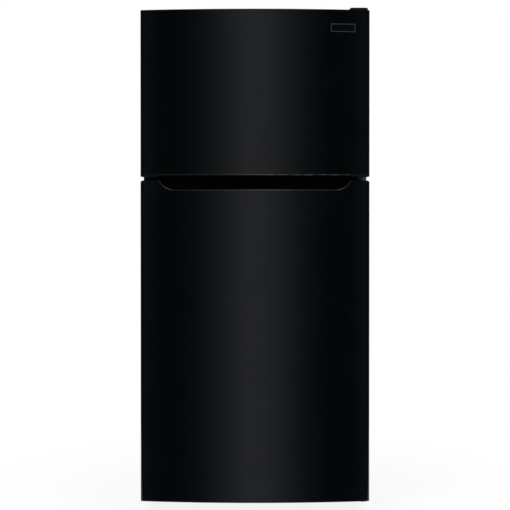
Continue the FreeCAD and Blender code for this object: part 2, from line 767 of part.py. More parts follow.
def build_dairy_lid():
    """Clear cover of the dairy shelf, with a top, a front and two ends, and a pivot pin at each end."""
    half = "(dyke_inner - 1)"
    x = (f"-{half}", half)
    back, front = "y_dairy_pin - 5", "y_cab + dairy_depth"
    low, high = "z_dairy + 1", "z_dairy + dairy_height - 2"
    shell = box("DairyShell", x, (back, front), (low, high))
    curved = rounded("DairyCurve", shell, "bin_round",
                     lambda edge: runs_along(edge, "x") and near(edge.BoundBox.YMax, front)
                     and near(edge.BoundBox.ZMax, high))
    room_front = f"{front} - dairy_wall"
    room = box("DairyRoom", (f"-{half} + dairy_wall", f"{half} - dairy_wall"), (f"{back} - 1", room_front),
               (f"{low} - 1", f"{high} - dairy_wall"))
    hollow = rounded("DairyHollow", room, "bin_round - dairy_wall",
                     lambda edge: runs_along(edge, "x") and near(edge.BoundBox.YMax, room_front)
                     and near(edge.BoundBox.ZMax, f"{high} - dairy_wall"))
    lid = cut("DairyHood", curved, [hollow])
    grip = box("DairyGrip", ("-40", "40"), (front, f"{front} + 7"), (low, f"{low} + 5"))
    pins = [rod(f"DairyPin{i}", "x", "dairy_pin_radius", (start, "y_dairy_pin", "z_dairy_pin"), "dairy_pin_depth")
            for i, start in enumerate((f"-{half} - dairy_pin_depth + 1", f"{half} - 1"))]
    subpart("dairy_lid", fuse("DairyLid", [lid, grip, *pins]))


def build_badge():
    """A blank name plate on the freezer door: a thin plate with a raised rim."""
    x = ("badge_offset - badge_width / 2", "badge_offset + badge_width / 2")
    z = ("z_badge - badge_height / 2", "z_badge + badge_height / 2")
    outer = door_prism("BadgeOuter", "-badge_rim_rise", z[0], z[1])
    floor = door_prism("BadgeFloor", "-badge_plate", f"{z[0]} + badge_rim", f"{z[1]} - badge_rim")
    skin_side = door_prism("BadgeBack", "0", f"{z[0]} - 1", f"{z[1]} + 1")
    across = lambda edge: runs_along(edge, "y")
    depth = ("y_front - badge_height", "y_edge + badge_height")
    window = rounded("BadgeWindow", box("BadgeWindowBlock", x, depth, z), "badge_corner", across)
    rim_block = box("BadgeRimBlock", (f"{x[0]} + badge_rim", f"{x[1]} - badge_rim"), depth,
                    (f"{z[0]} + badge_rim", f"{z[1]} - badge_rim"))
    rim_room = rounded("BadgeRimRoom", rim_block, "badge_corner - badge_rim", across)
    plate = common("BadgeBlock", outer, window)
    recess = cut("BadgeRecess", rim_room, [floor])
    subpart("badge", cut("Badge", plate, [skin_side, recess]))


# ---------------------------------------------------------------- cabinet

def liner_outline(grow, front):
    """Side view of the fresh-food compartment, which steps up over the machine compartment."""
    return [
        (front, f"z_floor - {grow}"),
        (f"y_step + {grow}", f"z_floor - {grow}"),
        (f"y_step + {grow}", f"z_step - {grow}"),
        (f"y_liner_back + {grow}", f"z_step - {grow}"),
        (f"y_liner_back + {grow}", f"z_ceiling + {grow}"),
        (front, f"z_ceiling + {grow}"),
    ]


def fresh_space(name, grow, front):
    return padded(name, "YZ_Plane", "0", f"2 * (fresh_half + {grow})", liner_outline(grow, front), midplane=True)


def freezer_space(name, grow, front):
    return box(name, (f"-freezer_half - {grow}", f"freezer_half + {grow}"), (front, f"y_liner_back + {grow}"),
               (f"z_freezer_floor - {grow}", f"z_freezer_ceiling + {grow}"))


def front_lip(name, half, low, high, half_in, low_in, high_in):
    """A flat rim round the mouth of a liner."""
    plate = box(name + "Plate", (f"-{half}", half), ("y_cab", "y_cab + liner_wall"), (low, high))
    mouth = box(name + "Mouth", (f"-{half_in}", half_in), ("y_cab - 1", "y_cab + liner_wall + 1"), (low_in, high_in))
    return cut(name, plate, [mouth])


def ledge_pair(name, half, front, back, height):
    """One shelf ledge on each side wall of a compartment."""
    def make(label, side):
        x = (f"{half} - ledge", f"{half} + 1") if side > 0 else (f"-{half} - 1", f"-{half} + ledge")
        return box(label, x, (front, back), (f"{height} - ledge", height))
    return mirrored_pair(name, make)


def build_liners():
    inner_edge = lambda edge: not runs_along(edge, "x") or edge.BoundBox.YMax > value("y_cab + 1")
    fresh_inner = round_body(fresh_space("FreshSpace", "0", "y_cab - 1"), "liner_round",
                             lambda edge: edge.BoundBox.YMax > value("y_cab") and inner_edge(edge))
    fresh_shell = cut("FreshShell", fresh_space("FreshShellBlock", "liner_wall", "y_cab"), [fresh_inner])
    fresh_rim = front_lip("FreshRim", "rim_half", "z_floor - liner_lip", "z_ceiling + liner_lip",
                          "(fresh_half + 1)", "z_floor - 1", "z_ceiling + 1")
    levels = [(f"z_shelf_{word}", "y_shelf") for word in ("low", "middle", "high")]
    levels.append(("z_cover", "y_crisper + 2 * shelf_frame"))
    ledges = [ledge for i, (height, front) in enumerate(levels)
              for ledge in ledge_pair(f"FreshLedge{i}", "fresh_half", front, "y_liner_back", height)]
    subpart("fresh_food_liner", fuse("FreshLiner", [fresh_shell, fresh_rim, *ledges]))

    freezer_inner = rounded("FreezerSpace", freezer_space("FreezerSpaceBlock", "0", "y_cab - 1"), "liner_round",
                            lambda edge: edge.BoundBox.YMax > value("y_cab"))
    freezer_shell = cut("FreezerShell", freezer_space("FreezerShellBlock", "liner_wall", "y_cab"), [freezer_inner])
    freezer_rim = front_lip("FreezerRim", "rim_half", "z_freezer_floor - liner_lip", "z_cab_top - flange",
                            "(freezer_half + 1)", "z_freezer_floor - 1", "z_freezer_ceiling + 1")
    freezer_ledges = ledge_pair("FreezerLedge", "freezer_half", "y_cab + wire_shelf_front",
                                "y_evaporator - cover_sheet - 1", "z_wire_shelf")
    subpart("freezer_liner", fuse("FreezerLiner", [freezer_shell, freezer_rim, *freezer_ledges]))


def hinge_screw_spots():
    """Head seat, axis and drive direction of each cabinet screw."""
    spots = [("pin_x", f"y_cab + {i} * screw_pitch", "z_cab_top + top_hinge_steel", "z", -1) for i in (1, 2, 3)]
    for sign in "+-":
        spots.append(("pin_x - 5", "y_cab - top_hinge_steel", f"z_mullion {sign} 7.5", "y", 1))
        spots.append((f"channel_mid {sign} 9", "y_rail - hinge_steel", "underside_height - 10", "y", 1))
    for x in ("-cab_half + channel_width", "cab_half - channel_width"):
        spots.append((x, "y_back + rear_cover_sheet", "machine_height + 7", "y", -1))
    return spots


def shanks(name, grow="0"):
    """The threaded parts of the cabinet screws, or the holes for them."""
    rods = []
    for i, (x, y, z, axis, direction) in enumerate(hinge_screw_spots()):
        back = "screw_length" if direction < 0 else "0"
        start = (x, y, f"{z} - {back}") if axis == "z" else (x, f"{y} - {back}", z)
        rods.append(rod(f"{name}{i}", axis, f"screw_radius + {grow}", start, "screw_length"))
    return rods


def build_screws():
    screws = []
    for i, (x, y, z, axis, direction) in enumerate(hinge_screw_spots()):
        back = "0" if direction < 0 else "screw_head_height"
        start = (x, y, f"{z} - {back}") if axis == "z" else (x, f"{y} - {back}", z)
        head = rod(f"ScrewHead{i}", axis, "screw_head", start, "screw_head_height")
        screws.append((head, i))
    bodies = [fuse(f"Screw{i}", [head, shank]) for (head, i), shank in zip(screws, shanks("ScrewShank"))]
    subpart("cabinet_screws", group("CabinetScrews", bodies))


def cabinet_block(name, inset, front, back, low, top_radius):
    """The cabinet's outer block with its two folded top edges."""
    block = box(name + "Block", (f"-cab_half + {inset}", f"cab_half - {inset}"), (front, back),
                (low, f"z_cab_top - {inset}"))
    at_fold = lambda edge: runs_along(edge, "y") and near(edge.BoundBox.ZMin, f"z_cab_top - {inset}")
    return rounded(name, block, top_radius, at_fold)


def build_cabinet():
    holes = shanks("ScrewHole", "running")

    outer = cabinet_block("WrapperOuter", "0", "y_cab", "y_back", "wrapper_bottom", "fold_radius")
    inner = cabinet_block("WrapperInner", "steel", "y_cab + liner_wall", "y_back + 1", "wrapper_bottom - 1",
                          "fold_radius - steel")
    mouth = box("WrapperMouth", ("-rim_half", "rim_half"), ("y_cab - 1", "y_cab + liner_wall + 1"),
                ("wrapper_bottom - 1", "z_cab_top - flange"))
    foot = box("WrapperFoot", ("-cab_half + steel", "cab_half - steel"), ("y_cab - 1", "y_cab + liner_wall + 1"),
               ("wrapper_bottom - 1", "underside_height"))
    subpart("cabinet_wrapper", cut("Wrapper", outer, [inner, mouth, foot, *holes]))

    panel = cabinet_block("BackPanelBlock", "steel", "y_back - steel", "y_back", "machine_height + steel",
                          "fold_radius - steel")
    subpart("cabinet_back_panel", cut("BackPanel", panel, holes))

    sheet = [
        ("y_cab + liner_wall", "underside_height"),
        ("y_machine", "underside_height"),
        ("y_machine", "machine_height"),
        ("y_back", "machine_height"),
        ("y_back", "machine_height + steel"),
        ("y_machine - steel", "machine_height + steel"),
        ("y_machine - steel", "underside_height + steel"),
        ("y_cab + liner_wall", "underside_height + steel"),
    ]
    bottom = padded("BottomSheet", "YZ_Plane", "0", "2 * (cab_half - steel)", sheet, midplane=True)
    apron = box("BottomApron", ("-rim_half", "rim_half"), ("y_cab", "y_cab + liner_wall"),
                ("underside_height", "z_floor - liner_lip"))
    subpart("cabinet_bottom_panel", fuse("BottomPanel", [bottom, apron]))

    rail = box("MullionBlock", ("-rim_half", "rim_half"), ("y_cab", "y_cab + liner_wall"),
               ("z_ceiling + liner_lip", "z_freezer_floor - liner_lip"))
    subpart("mullion_rail", rail)

    fill = cabinet_block("FoamBlock", "steel", "y_cab + liner_wall", "y_back - steel", "underside_height + steel",
                         "fold_radius - steel")
    room = box("FoamMachineRoom", ("-cab_half", "cab_half"), ("y_machine - steel", "y_back"),
               ("underside_height", "machine_height + steel"))
    spaces = [fresh_space("FoamFreshSpace", "liner_wall", "y_cab"),
              freezer_space("FoamFreezerSpace", "liner_wall", "y_cab")]
    subpart("cabinet_foam", cut("CabinetFoam", fill, [*spaces, room, *holes]))


# ---------------------------------------------------------------- hinges and chassis

def hinge_leaf(name, y_back_end, z_low, thickness):
    """A flat hinge arm with a round nose about the pin."""
    block = box(name + "Block", ("pin_x - hinge_half_width", "pin_x + hinge_half_width"),
                ("pin_y - hinge_nose", y_back_end), (z_low, f"{z_low} + {thickness}"))
    at_nose = lambda edge: runs_along(edge, "z") and near(edge.BoundBox.YMin, "pin_y - hinge_nose")
    return rounded(name, block, "hinge_nose - 0.5", at_nose)


def build_hinges():
    holes = shanks("HingeHole", "running")
    x = ("pin_x - hinge_half_width", "pin_x + hinge_half_width")

    top = fuse("TopHingeBody", [
        hinge_leaf("TopLeaf", "y_cab + top_hinge_reach", "z_cab_top", "top_hinge_steel"),
        rod("TopPin", "z", "pin_radius", ("pin_x", "pin_y", "z_freezer_top - pin_grip"),
            "cabinet_rise + pin_grip + 1"),
    ])
    subpart("top_hinge", cut("TopHinge", top, holes))

    center = fuse("CenterHingeBody", [
        hinge_leaf("CenterLeaf", "y_cab", "z_mullion - hinge_steel / 2", "hinge_steel"),
        box("CenterTab", x, ("y_cab - top_hinge_steel", "y_cab"), ("z_mullion - hinge_tab", "z_mullion + hinge_tab")),
        rod("CenterPin", "z", "pin_radius", ("pin_x", "pin_y", "z_fresh_top - pin_grip"),
            "2 * pin_grip + door_gap"),
    ])
    subpart("center_hinge", cut("CenterHinge", center, holes))

    low = "door_bottom_height - 2 * top_hinge_steel - 1"
    wide = ("channel_mid - 20", "channel_mid + 18")
    bottom = fuse("BottomHingeBody", [
        hinge_leaf("BottomLeaf", "y_rail", low, "hinge_steel"),
        box("BottomTab", wide, ("y_rail - hinge_steel", "y_rail"), (low, "underside_height - 2")),
        rod("BottomPin", "z", "pin_radius", ("pin_x", "pin_y", low), f"door_bottom_height + pin_grip - ({low})"),
    ])
    subpart("bottom_hinge", cut("BottomHinge", bottom, holes))


def build_hinge_cover():
    """Plastic cover over the top hinge, open below, with a rounded nose and top."""
    def shell(name, inset, low):
        x = (f"cover_left + {inset}", f"cover_left + cover_width - {inset}")
        y = (f"pin_y - cover_nose + {inset}", f"y_cab + cover_reach - {inset}")
        block = box(name + "Block", x, y, (low, f"z_top - {inset}"))
        at_nose = lambda edge: runs_along(edge, "z") and near(edge.BoundBox.YMin, y[0])
        nosed = rounded(name + "Nose", block, f"cover_corner - {inset}", at_nose)
        on_top = lambda edge: near(lowest(edge), f"z_top - {inset}")
        return rounded(name, nosed, f"cover_edge - {inset}", on_top)
    outer = shell("CoverOuter", "0", "z_cab_top")
    inner = shell("CoverInner", "cover_wall", "z_cab_top - 1")
    subpart("top_hinge_cover", cut("HingeCover", outer, [inner]))


def channel(name, side):
    """One side rail of the chassis, folded to an inverted U."""
    near_x, far_x = "channel_x", "channel_x + channel_width"
    if side < 0:
        near_x, far_x = f"-({far_x})", f"-({near_x})"
    y = ("y_rail + rail_sheet", "y_back - ledge")
    block = box(name + "Block", (near_x, far_x), y, ("channel_bottom", "underside_height"))
    room = box(name + "Room", (f"{near_x} + channel_sheet", f"{far_x} - channel_sheet"),
               (f"{y[0]} - 1", f"{y[1]} + 1"), ("channel_bottom - 1", "underside_height - channel_sheet"))
    nut_y = ("y_leg - leg_foot_radius + 1", "y_leg + leg_foot_radius - 1")
    nut = box(name + "Nut", (near_x, far_x), nut_y, ("underside_height - 20", "underside_height - 20 + leg_nut_height"))
    return fuse(name, [cut(name + "Fold", block, [room]), nut])


def build_chassis():
    front = box("RailFront", ("-channel_x - channel_width", "channel_x + channel_width"),
                ("y_rail", "y_rail + rail_sheet"), ("wrapper_bottom + 1", "underside_height"))
    pan = box("PanSheet", ("-channel_x - 1", "channel_x + 1"), ("y_machine", "y_back - ledge"),
              ("pan_height", "pan_height + channel_sheet"))
    frame = fuse("FrameBody", [front, pan, *mirrored_pair("Channel", channel)])
    holes = shanks("FrameHole", "running")
    for word, sign in (("Right", ""), ("Left", "-")):
        middle = f"{sign}channel_mid"
        holes.append(rod(f"StudHole{word}", "z", "leg_stud_radius + running", (middle, "y_leg", "channel_bottom"),
                         "underside_height - channel_bottom - channel_sheet"))
        holes.append(rod(f"AxleHole{word}", "x", "axle_radius",
                         (f"{middle} - channel_width / 2 - 3", "y_roller", "roller_radius"), "channel_width + 6"))
    subpart("base_frame", cut("BaseFrame", frame, holes))

    axles = []
    for word, sign in (("Right", ""), ("Left", "-")):
        middle = f"{sign}channel_mid"
        axles.append(rod(f"Axle{word}", "x", "axle_radius",
                         (f"{middle} - channel_width / 2 - 1", "y_roller", "roller_radius"), "channel_width + 2"))
        tyre = rod(f"Tyre{word}", "x", "roller_radius", (f"{middle} - roller_width / 2", "y_roller", "roller_radius"),
                   "roller_width")
        soft = rounded(f"Roller{word}Edge", tyre, "pin_radius / 2", lambda edge: len(edge.Vertexes) == 1)
        bore = rod(f"RollerBore{word}", "x", "axle_radius + running",
                   (f"{middle} - roller_width", "y_roller", "roller_radius"), "2 * roller_width")
        subpart(f"rear_roller_{word.lower()}", cut(f"Roller{word}", soft, [bore]))
        subpart(f"leveling_leg_{word.lower()}", leg(f"Leg{word}", middle))
    subpart("roller_axles", group("RollerAxles", axles))


def leg(name, x):
    """Leveling leg: a broad foot and a threaded stud."""
    foot = rod(name + "Foot", "z", "leg_foot_radius", (x, "y_leg", "0"), "leg_foot_height")
    soft = rounded(name + "Edge", foot, "pin_radius / 2", lambda edge: len(edge.Vertexes) == 1)
    stud = rod(name + "Stud", "z", "leg_stud_radius", (x, "y_leg", "leg_foot_height / 2"),
               "leg_stud_top - leg_foot_height / 2")
    return fuse(name, [soft, stud])


def build_toe_grille():
    y = ("y_cab + grille_setback", "y_cab + grille_setback + grille_sheet")
    block = box("GrilleBlock", ("-grille_half", "grille_half"), y, ("grille_bottom", "grille_top"))
    soft = rounded("GrilleSoft", block, "pin_radius / 2", lambda edge: near(edge.BoundBox.YMax, y[0]))
    slots = []
    for i in range(GRILLE_SLOTS):
        z = f"grille_bottom + {i + 1} * (grille_top - grille_bottom) / {GRILLE_SLOTS + 1}"
        for word, low, high in (("Left", "-grille_half + 2 * grille_sheet", "-grille_sheet"),
                                ("Right", "grille_sheet", "grille_half - 2 * grille_sheet")):
            slots.append(box(f"GrilleSlot{i}{word}", (low, high), (f"{y[0]} - 1", f"{y[1]} + 1"),
                             (f"{z} - 2", f"{z} + 2")))
    clips = mirrored_pair("GrilleClip", lambda label, side: box(
        label, (f"{side} * grille_half / 2 - 12", f"{side} * grille_half / 2 + 12"), (f"{y[1]} - 1", "y_rail"),
        ("grille_top - grille_sheet", "grille_top")))
    subpart("toe_grille", fuse("ToeGrille", [cut("GrilleSlotted", soft, slots), *clips]))


# ---------------------------------------------------------------- fresh-food fittings

def frame(name, x, y, z, side):
    """A rectangular frame with a rebate for a pane of glass."""
    outer = rounded(name + "Outer", box(name + "Block", x, y, z), "pin_radius",
                    lambda edge: runs_along(edge, "z"))
    hole = box(name + "Hole", (f"{x[0]} + {side}", f"{x[1]} - {side}"), (f"{y[0]} + {side}", f"{y[1]} - {side}"),
               (f"{z[0]} - 1", f"{z[1]} + 1"))
    rebate = box(name + "Rebate", (f"{x[0]} + {side} - glass_seat", f"{x[1]} - {side} + glass_seat"),
                 (f"{y[0]} + {side} - glass_seat", f"{y[1]} - {side} + glass_seat"), (f"{z[1]} - glass", f"{z[1]} + 1"))
    return cut(name, outer, [hole, rebate])


def pane(name, x, y, top, side):
    return box(name, (f"{x[0]} + {side} - glass_seat", f"{x[1]} - {side} + glass_seat"),
               (f"{y[0]} + {side} - glass_seat", f"{y[1]} - {side} + glass_seat"), (f"{top} - glass", top))


def build_shelves():
    x, y = ("-shelf_half", "shelf_half"), ("y_shelf", "y_shelf_back")
    side = "2 * shelf_frame"
    frames, panes = [], []
    for word in ("low", "high"):
        height = f"z_shelf_{word}"
        frames.append(frame(f"Shelf{word}", x, y, (height, f"{height} + shelf_frame"), side))
        panes.append(pane(f"Glass{word}", x, y, f"{height} + shelf_frame", side))
    subpart("shelf_frames", group("ShelfFrames", frames))

    cover_z = ("z_cover", "z_cover + shelf_frame")
    cover_y = ("y_crisper", "y_shelf_back")
    cover = frame("CoverFrame", x, cover_y, cover_z, side)
    beam = box("CoverBeam", ("-divider_half", "divider_half"), cover_y, ("z_cover - 2", "z_cover + glass"))
    fascia = box("Fascia", x, ("y_crisper", "y_crisper + shelf_frame"), ("z_crisper_top + crisper_gap", cover_z[1]))
    slots = [box(f"SliderSlot{i}", (low, f"{low} + slider_width + slider_travel + 1"),
                 ("y_crisper - 1", "y_crisper + slider_depth"), ("z_slider - 5.3", "z_slider + 5.3"))
             for i, low in enumerate(SLIDER_STARTS)]
    divider = box("Divider", ("-divider_half / 2", "divider_half / 2"), ("y_crisper + 20", "y_crisper_back"),
                  ("z_floor", "z_cover"))
    subpart("crisper_cover_frame", cut("CrisperCover", fuse("CoverBody", [cover, beam, fascia, divider]), slots))
    panes.append(pane("GlassCover", x, cover_y, cover_z[1], side))
    subpart("shelf_glass", group("ShelfGlass", panes))

    for word, low in zip(("left", "right"), SLIDER_STARTS):
        knob = box(f"Slider{word}", (f"{low} + 0.5", f"{low} + 0.5 + slider_width"),
                   ("y_crisper - slider_depth", "y_crisper + slider_depth - 0.3"), ("z_slider - 5", "z_slider + 5"))
        soft = rounded(f"SliderSoft{word}", knob, "pin_radius / 2",
                       lambda edge: near(edge.BoundBox.YMax, "y_crisper - slider_depth"))
        subpart(f"humidity_slider_{word}", soft)


def build_crispers():
    for word, side in (("left", -1), ("right", 1)):
        low, high = "divider_half + crisper_gap", "crisper_outer"
        x = (low, high) if side > 0 else (f"-({high})", f"-({low})")
        z = ("z_floor + seal_clearance", "z_crisper_top")
        drawer = tray(f"Crisper{word}", x, ("y_crisper", "y_crisper_back"), z, "crisper_wall", "crisper_round")
        middle = f"(({x[0]}) + ({x[1]})) / 2"
        pull = box(f"CrisperPull{word}", (f"{middle} - crisper_pull_half", f"{middle} + crisper_pull_half"),
                   ("y_crisper - crisper_handle", "y_crisper + 1"), ("z_crisper_top - 22", "z_crisper_top - 4"))
        scooped = box(f"CrisperFinger{word}",
                      (f"{middle} - crisper_pull_half + 3", f"{middle} + crisper_pull_half - 3"),
                      ("y_crisper - crisper_handle + 3", "y_crisper"), ("z_crisper_top - 23", "z_crisper_top - 7"))
        soft = rounded(f"CrisperPullSoft{word}", pull, "pin_radius / 2",
                       lambda edge: near(edge.BoundBox.YMax, "y_crisper - crisper_handle"))
        subpart(f"crisper_{word}", fuse(f"CrisperDrawer{word}", [drawer, cut(f"CrisperGrip{word}", soft, [scooped])]))


def build_controls():
    """Control housing under the fresh-food ceiling, its knob and lamp lens, and the door light switch."""
    y = ("y_control", "y_control + control_depth")
    block = box("ControlBlock", ("-control_half", "control_half"), y, ("z_ceiling - control_height", "z_ceiling"))
    soft = rounded("ControlSoft", block, "liner_round",
                   lambda edge: near(highest(edge), "z_ceiling - control_height"))
    room = box("ControlRoom", ("-control_half + ledge", "control_half - ledge"), (f"{y[0]} + ledge", f"{y[1]} - ledge"),
               ("z_ceiling - control_height + shelf_side", "z_ceiling + 1"))
    window = box("LampWindow", ("-control_half + 25", "knob_offset - 45"), (f"{y[0]} + 45", f"{y[1]} - 25"),
                 ("z_ceiling - control_height - 1", "z_ceiling - control_height + shelf_side + 1"))
    bore = rod("KnobBore", "y", "knob_shaft + running", ("knob_offset", f"{y[0]} - 1", "z_knob"), "2 * ledge")
    housing = cut("ControlHousing", soft, [room, window, bore])
    case = box("SwitchCase", ("switch_offset - switch_body / 2", "switch_offset + switch_body / 2"),
               ("y_cab + ledge", "y_cab + ledge + switch_body"), ("z_ceiling - switch_body", "z_ceiling"))
    case_bore = rod("SwitchBore", "y", "switch_radius + running", ("switch_offset", "y_cab", "z_switch"),
                    "switch_body + 2 * ledge")
    subpart("control_housing", group("ControlGroup", [housing, cut("SwitchBody", case, [case_bore])]))

    lens = box("Lens", ("-control_half + 25", "knob_offset - 45"), (f"{y[0]} + 45", f"{y[1]} - 25"),
               ("z_ceiling - control_height - 3", "z_ceiling - control_height + shelf_side"))
    subpart("lamp_lens", rounded("LampLens", lens, "pin_radius / 2",
                                 lambda edge: near(highest(edge), "z_ceiling - control_height - 3")))

    disc = rod("KnobDisc", "y", "knob_radius", ("knob_offset", f"{y[0]} - knob_gap - knob_length", "z_knob"),
               "knob_length")
    disc_soft = rounded("KnobSoft", disc, "pin_radius / 2",
                        lambda edge: near(edge.BoundBox.YMax, f"{y[0]} - knob_gap - knob_length"))
    shaft = rod("KnobShaft", "y", "knob_shaft", ("knob_offset", f"{y[0]} - knob_gap - 1", "z_knob"), "2 * ledge")
    blade = box("KnobBlade", ("knob_offset - 2.5", "knob_offset + 2.5"),
                (f"{y[0]} - knob_gap - knob_length - 6", f"{y[0]} - knob_gap - 2"),
                ("z_knob - knob_radius + 2", "z_knob + knob_radius - 2"))
    subpart("temperature_knob", fuse("TemperatureKnob", [disc_soft, shaft, blade]))

    plunger = rod("Plunger", "y", "switch_radius", ("switch_offset", "y_gasket + seal_clearance", "z_switch"),
                  "y_cab + ledge + switch_body - y_gasket")
    subpart("light_switch_plunger", rounded("SwitchPlunger", plunger, "switch_radius / 2",
                                            lambda edge: near(edge.BoundBox.YMax, "y_gasket + seal_clearance")))


# ---------------------------------------------------------------- freezer fittings

def build_wire_shelf():
    """Welded shelf: a stout rod frame with thin cross wires, resting on the side ledges."""
    half = "(freezer_half - shelf_side / 2)"
    front, back = "y_cab + wire_shelf_front", "y_evaporator - crisper_gap"
    z = "z_wire_shelf + wire_frame_radius"
    rods = [rod(f"FrameRod{i}", "x", "wire_frame_radius", (f"-{half}", y, z), f"2 * {half}")
            for i, y in enumerate((f"{front} + wire_frame_radius", f"{back} - wire_frame_radius",
                                   f"({front} + {back}) / 2"))]
    for i, x in enumerate((f"-{half} + wire_frame_radius", f"{half} - wire_frame_radius")):
        rods.append(rod(f"FrameSide{i}", "y", "wire_frame_radius", (x, front, z), f"{back} - ({front})"))
    for i in range(1, WIRE_COUNT):
        x = f"-{half} + {i} * 2 * {half} / {WIRE_COUNT}"
        rods.append(rod(f"Wire{i}", "y", "wire_radius", (x, front, "z_wire_shelf + 2 * wire_frame_radius"),
                        f"{back} - ({front})"))
    subpart("wire_shelf", fuse("WireShelf", rods))


def serpentine(name, half, rows, pitch, radius, x_mid, y, z_low):
    """A tube folded back and forth along X, rising one pitch at each end."""
    pieces = []
    for row in range(rows):
        z = f"{z_low} + {row} * {pitch}"
        pieces.append(rod(f"{name}Run{row}", "x", radius, (f"{x_mid} - {half}", y, z), f"2 * {half}"))
        if row == rows - 1:
            continue
        side = 1 if row % 2 == 0 else -1
        bend = doc.addObject("Part::Torus", f"{name}Bend{row}")
        bind(bend, "Radius1", f"{pitch} / 2")
        bind(bend, "Radius2", radius)
        bend.Angle3 = 180
        turn = Rotation(Vector(1, 0, 0), 90) if side > 0 else Rotation(Vector(0, 1, 0), 180) * Rotation(Vector(1, 0, 0), 90)
        bend.Placement = Placement(Vector(), turn * Rotation(Vector(0, 0, 1), -90))
        place(bend, f"{x_mid} + {side} * {half}", y, f"{z} + {pitch} / 2")
        pieces.append(bend)
    return fuse(name, pieces)


def fan_blade(name, axis, center, radius):
    """Four flat blades set at a pitch on a hub."""
    x, y, z = center
    hub = rod(name + "Hub", axis, "fan_hub", center, "fan_depth")
    shaft_bore = rod(name + "Bore", axis, "knob_shaft + running", center, "fan_depth")
    pieces = [hub]
    for i in range(4):
        blade = doc.addObject("Part::Box", f"{name}Blade{i}")
        bind(blade, "Length", f"{radius} - fan_hub + 5")
        bind(blade, "Width", "fan_blade_chord")
        bind(blade, "Height", "shelf_side / 2")
        spin = Rotation(Vector(0, 0, 1), 90 * i)
        pitch = Rotation(Vector(1, 0, 0), 24)
        blade.Placement = Placement(Vector(), AXES[axis] * spin * pitch)
        offset = AXES[axis].multVec(spin.multVec(Vector(value("fan_hub - 5"), -value("fan_blade_chord") / 2, 3.2)))
        place(blade, f"{x} + {offset.x + 0.0:.4f}", f"{y} + {offset.y + 0.0:.4f}", f"{z} + {offset.z + 0.0:.4f}")
        pieces.append(blade)
    return cut(name, fuse(name + "Body", pieces), [shaft_bore])


def build_evaporator():
    cover_y = ("y_evaporator - cover_sheet", "y_evaporator")
    block = box("EvaporatorBlock", ("-freezer_half + crisper_gap", "freezer_half - crisper_gap"), cover_y,
                ("z_freezer_floor", "z_freezer_ceiling"))
    sheet = rounded("EvaporatorSheet", block, "liner_round", lambda edge: runs_along(edge, "y"))
    openings = []
    for row in range(3):
        for column in range(6):
            x = f"{column - 2.5} * 1.5 * louver_length"
            z = f"z_freezer_floor + 30 + {row} * 3 * louver_height"
            openings.append(box(f"ReturnSlot{row}{column}", (f"{x} - louver_length / 2", f"{x} + louver_length / 2"),
                                ("y_evaporator - 10", "y_evaporator + 1"), (z, f"{z} + louver_height")))
    openings.append(rod("FanOpening", "y", "fan_radius + 3", ("0", "y_evaporator - 10", "z_fan"), "20"))
    guard = [box(f"FanGuard{i}", ("-fan_radius - 4", "fan_radius + 4"), cover_y,
                 (f"z_fan + {i} * 16 - 2", f"z_fan + {i} * 16 + 2")) for i in range(-3, 4)]
    subpart("evaporator_cover", fuse("EvaporatorCover", [cut("CoverSheet", sheet, openings), *guard]))

    coil_y = "y_evaporator + evaporator_space / 2 + 5"
    coil = serpentine("Coil", "coil_half", COIL_ROWS, "coil_pitch", "coil_radius", "0", coil_y, "z_coil")
    fins = []
    for i in range(FIN_COUNT):
        x = f"-coil_half + {i + 0.5} * 2 * coil_half / {FIN_COUNT}"
        fins.append(box(f"Fin{i}", (f"{x} - 0.5", f"{x} + 0.5"), (f"{coil_y} - fin_depth / 2", f"{coil_y} + fin_depth / 2"),
                        ("z_coil - coil_pitch / 2", f"z_coil + {COIL_ROWS - 0.5} * coil_pitch")))
    feet = mirrored_pair("CoilFoot", lambda label, side: box(
        label, (f"{side} * (coil_half - 30) - 10", f"{side} * (coil_half - 30) + 10"), (f"{coil_y} - 15", f"{coil_y} + 15"),
        ("z_freezer_floor", "z_coil")))
    subpart("evaporator", fuse("Evaporator", [coil, *fins, *feet]))

    blade_y = "y_evaporator + 8"
    subpart("evaporator_fan_blade", fan_blade("FreezerFan", "y", ("0", blade_y, "z_fan"), "fan_radius"))
    motor_y = f"{blade_y} + fan_depth + 4"
    motor = rod("FreezerMotorCase", "y", "fan_hub + 8", ("0", motor_y, "z_fan"), f"y_liner_back - ({motor_y})")
    shaft = rod("FreezerMotorShaft", "y", "knob_shaft", ("0", f"{blade_y} + 2", "z_fan"), "fan_depth + 10")
    condenser_motor = rod("CondenserMotorCase", "x", "fan_hub + 10", ("x_fan + fan_depth + 6", "y_compressor", "z_fan_low"),
                          "46")
    condenser_shaft = rod("CondenserMotorShaft", "x", "knob_shaft", ("x_fan + 2", "y_compressor", "z_fan_low"),
                          "fan_depth + 10")
    stand = box("CondenserMotorStand", ("x_fan + fan_depth + 20", "x_fan + fan_depth + 40"),
                ("y_compressor - 15", "y_compressor + 15"), ("pan_height + channel_sheet", "z_fan_low"))
    subpart("fan_motors", group("FanMotors", [
        fuse("FreezerMotor", [motor, shaft]),
        fuse("CondenserMotor", [condenser_motor, condenser_shaft, stand]),
    ]))
    subpart("condenser_fan_blade", fan_blade("CondenserFan", "x", ("x_fan", "y_compressor", "z_fan_low"),
                                             "condenser_fan_radius"))


# ---------------------------------------------------------------- machine compartment

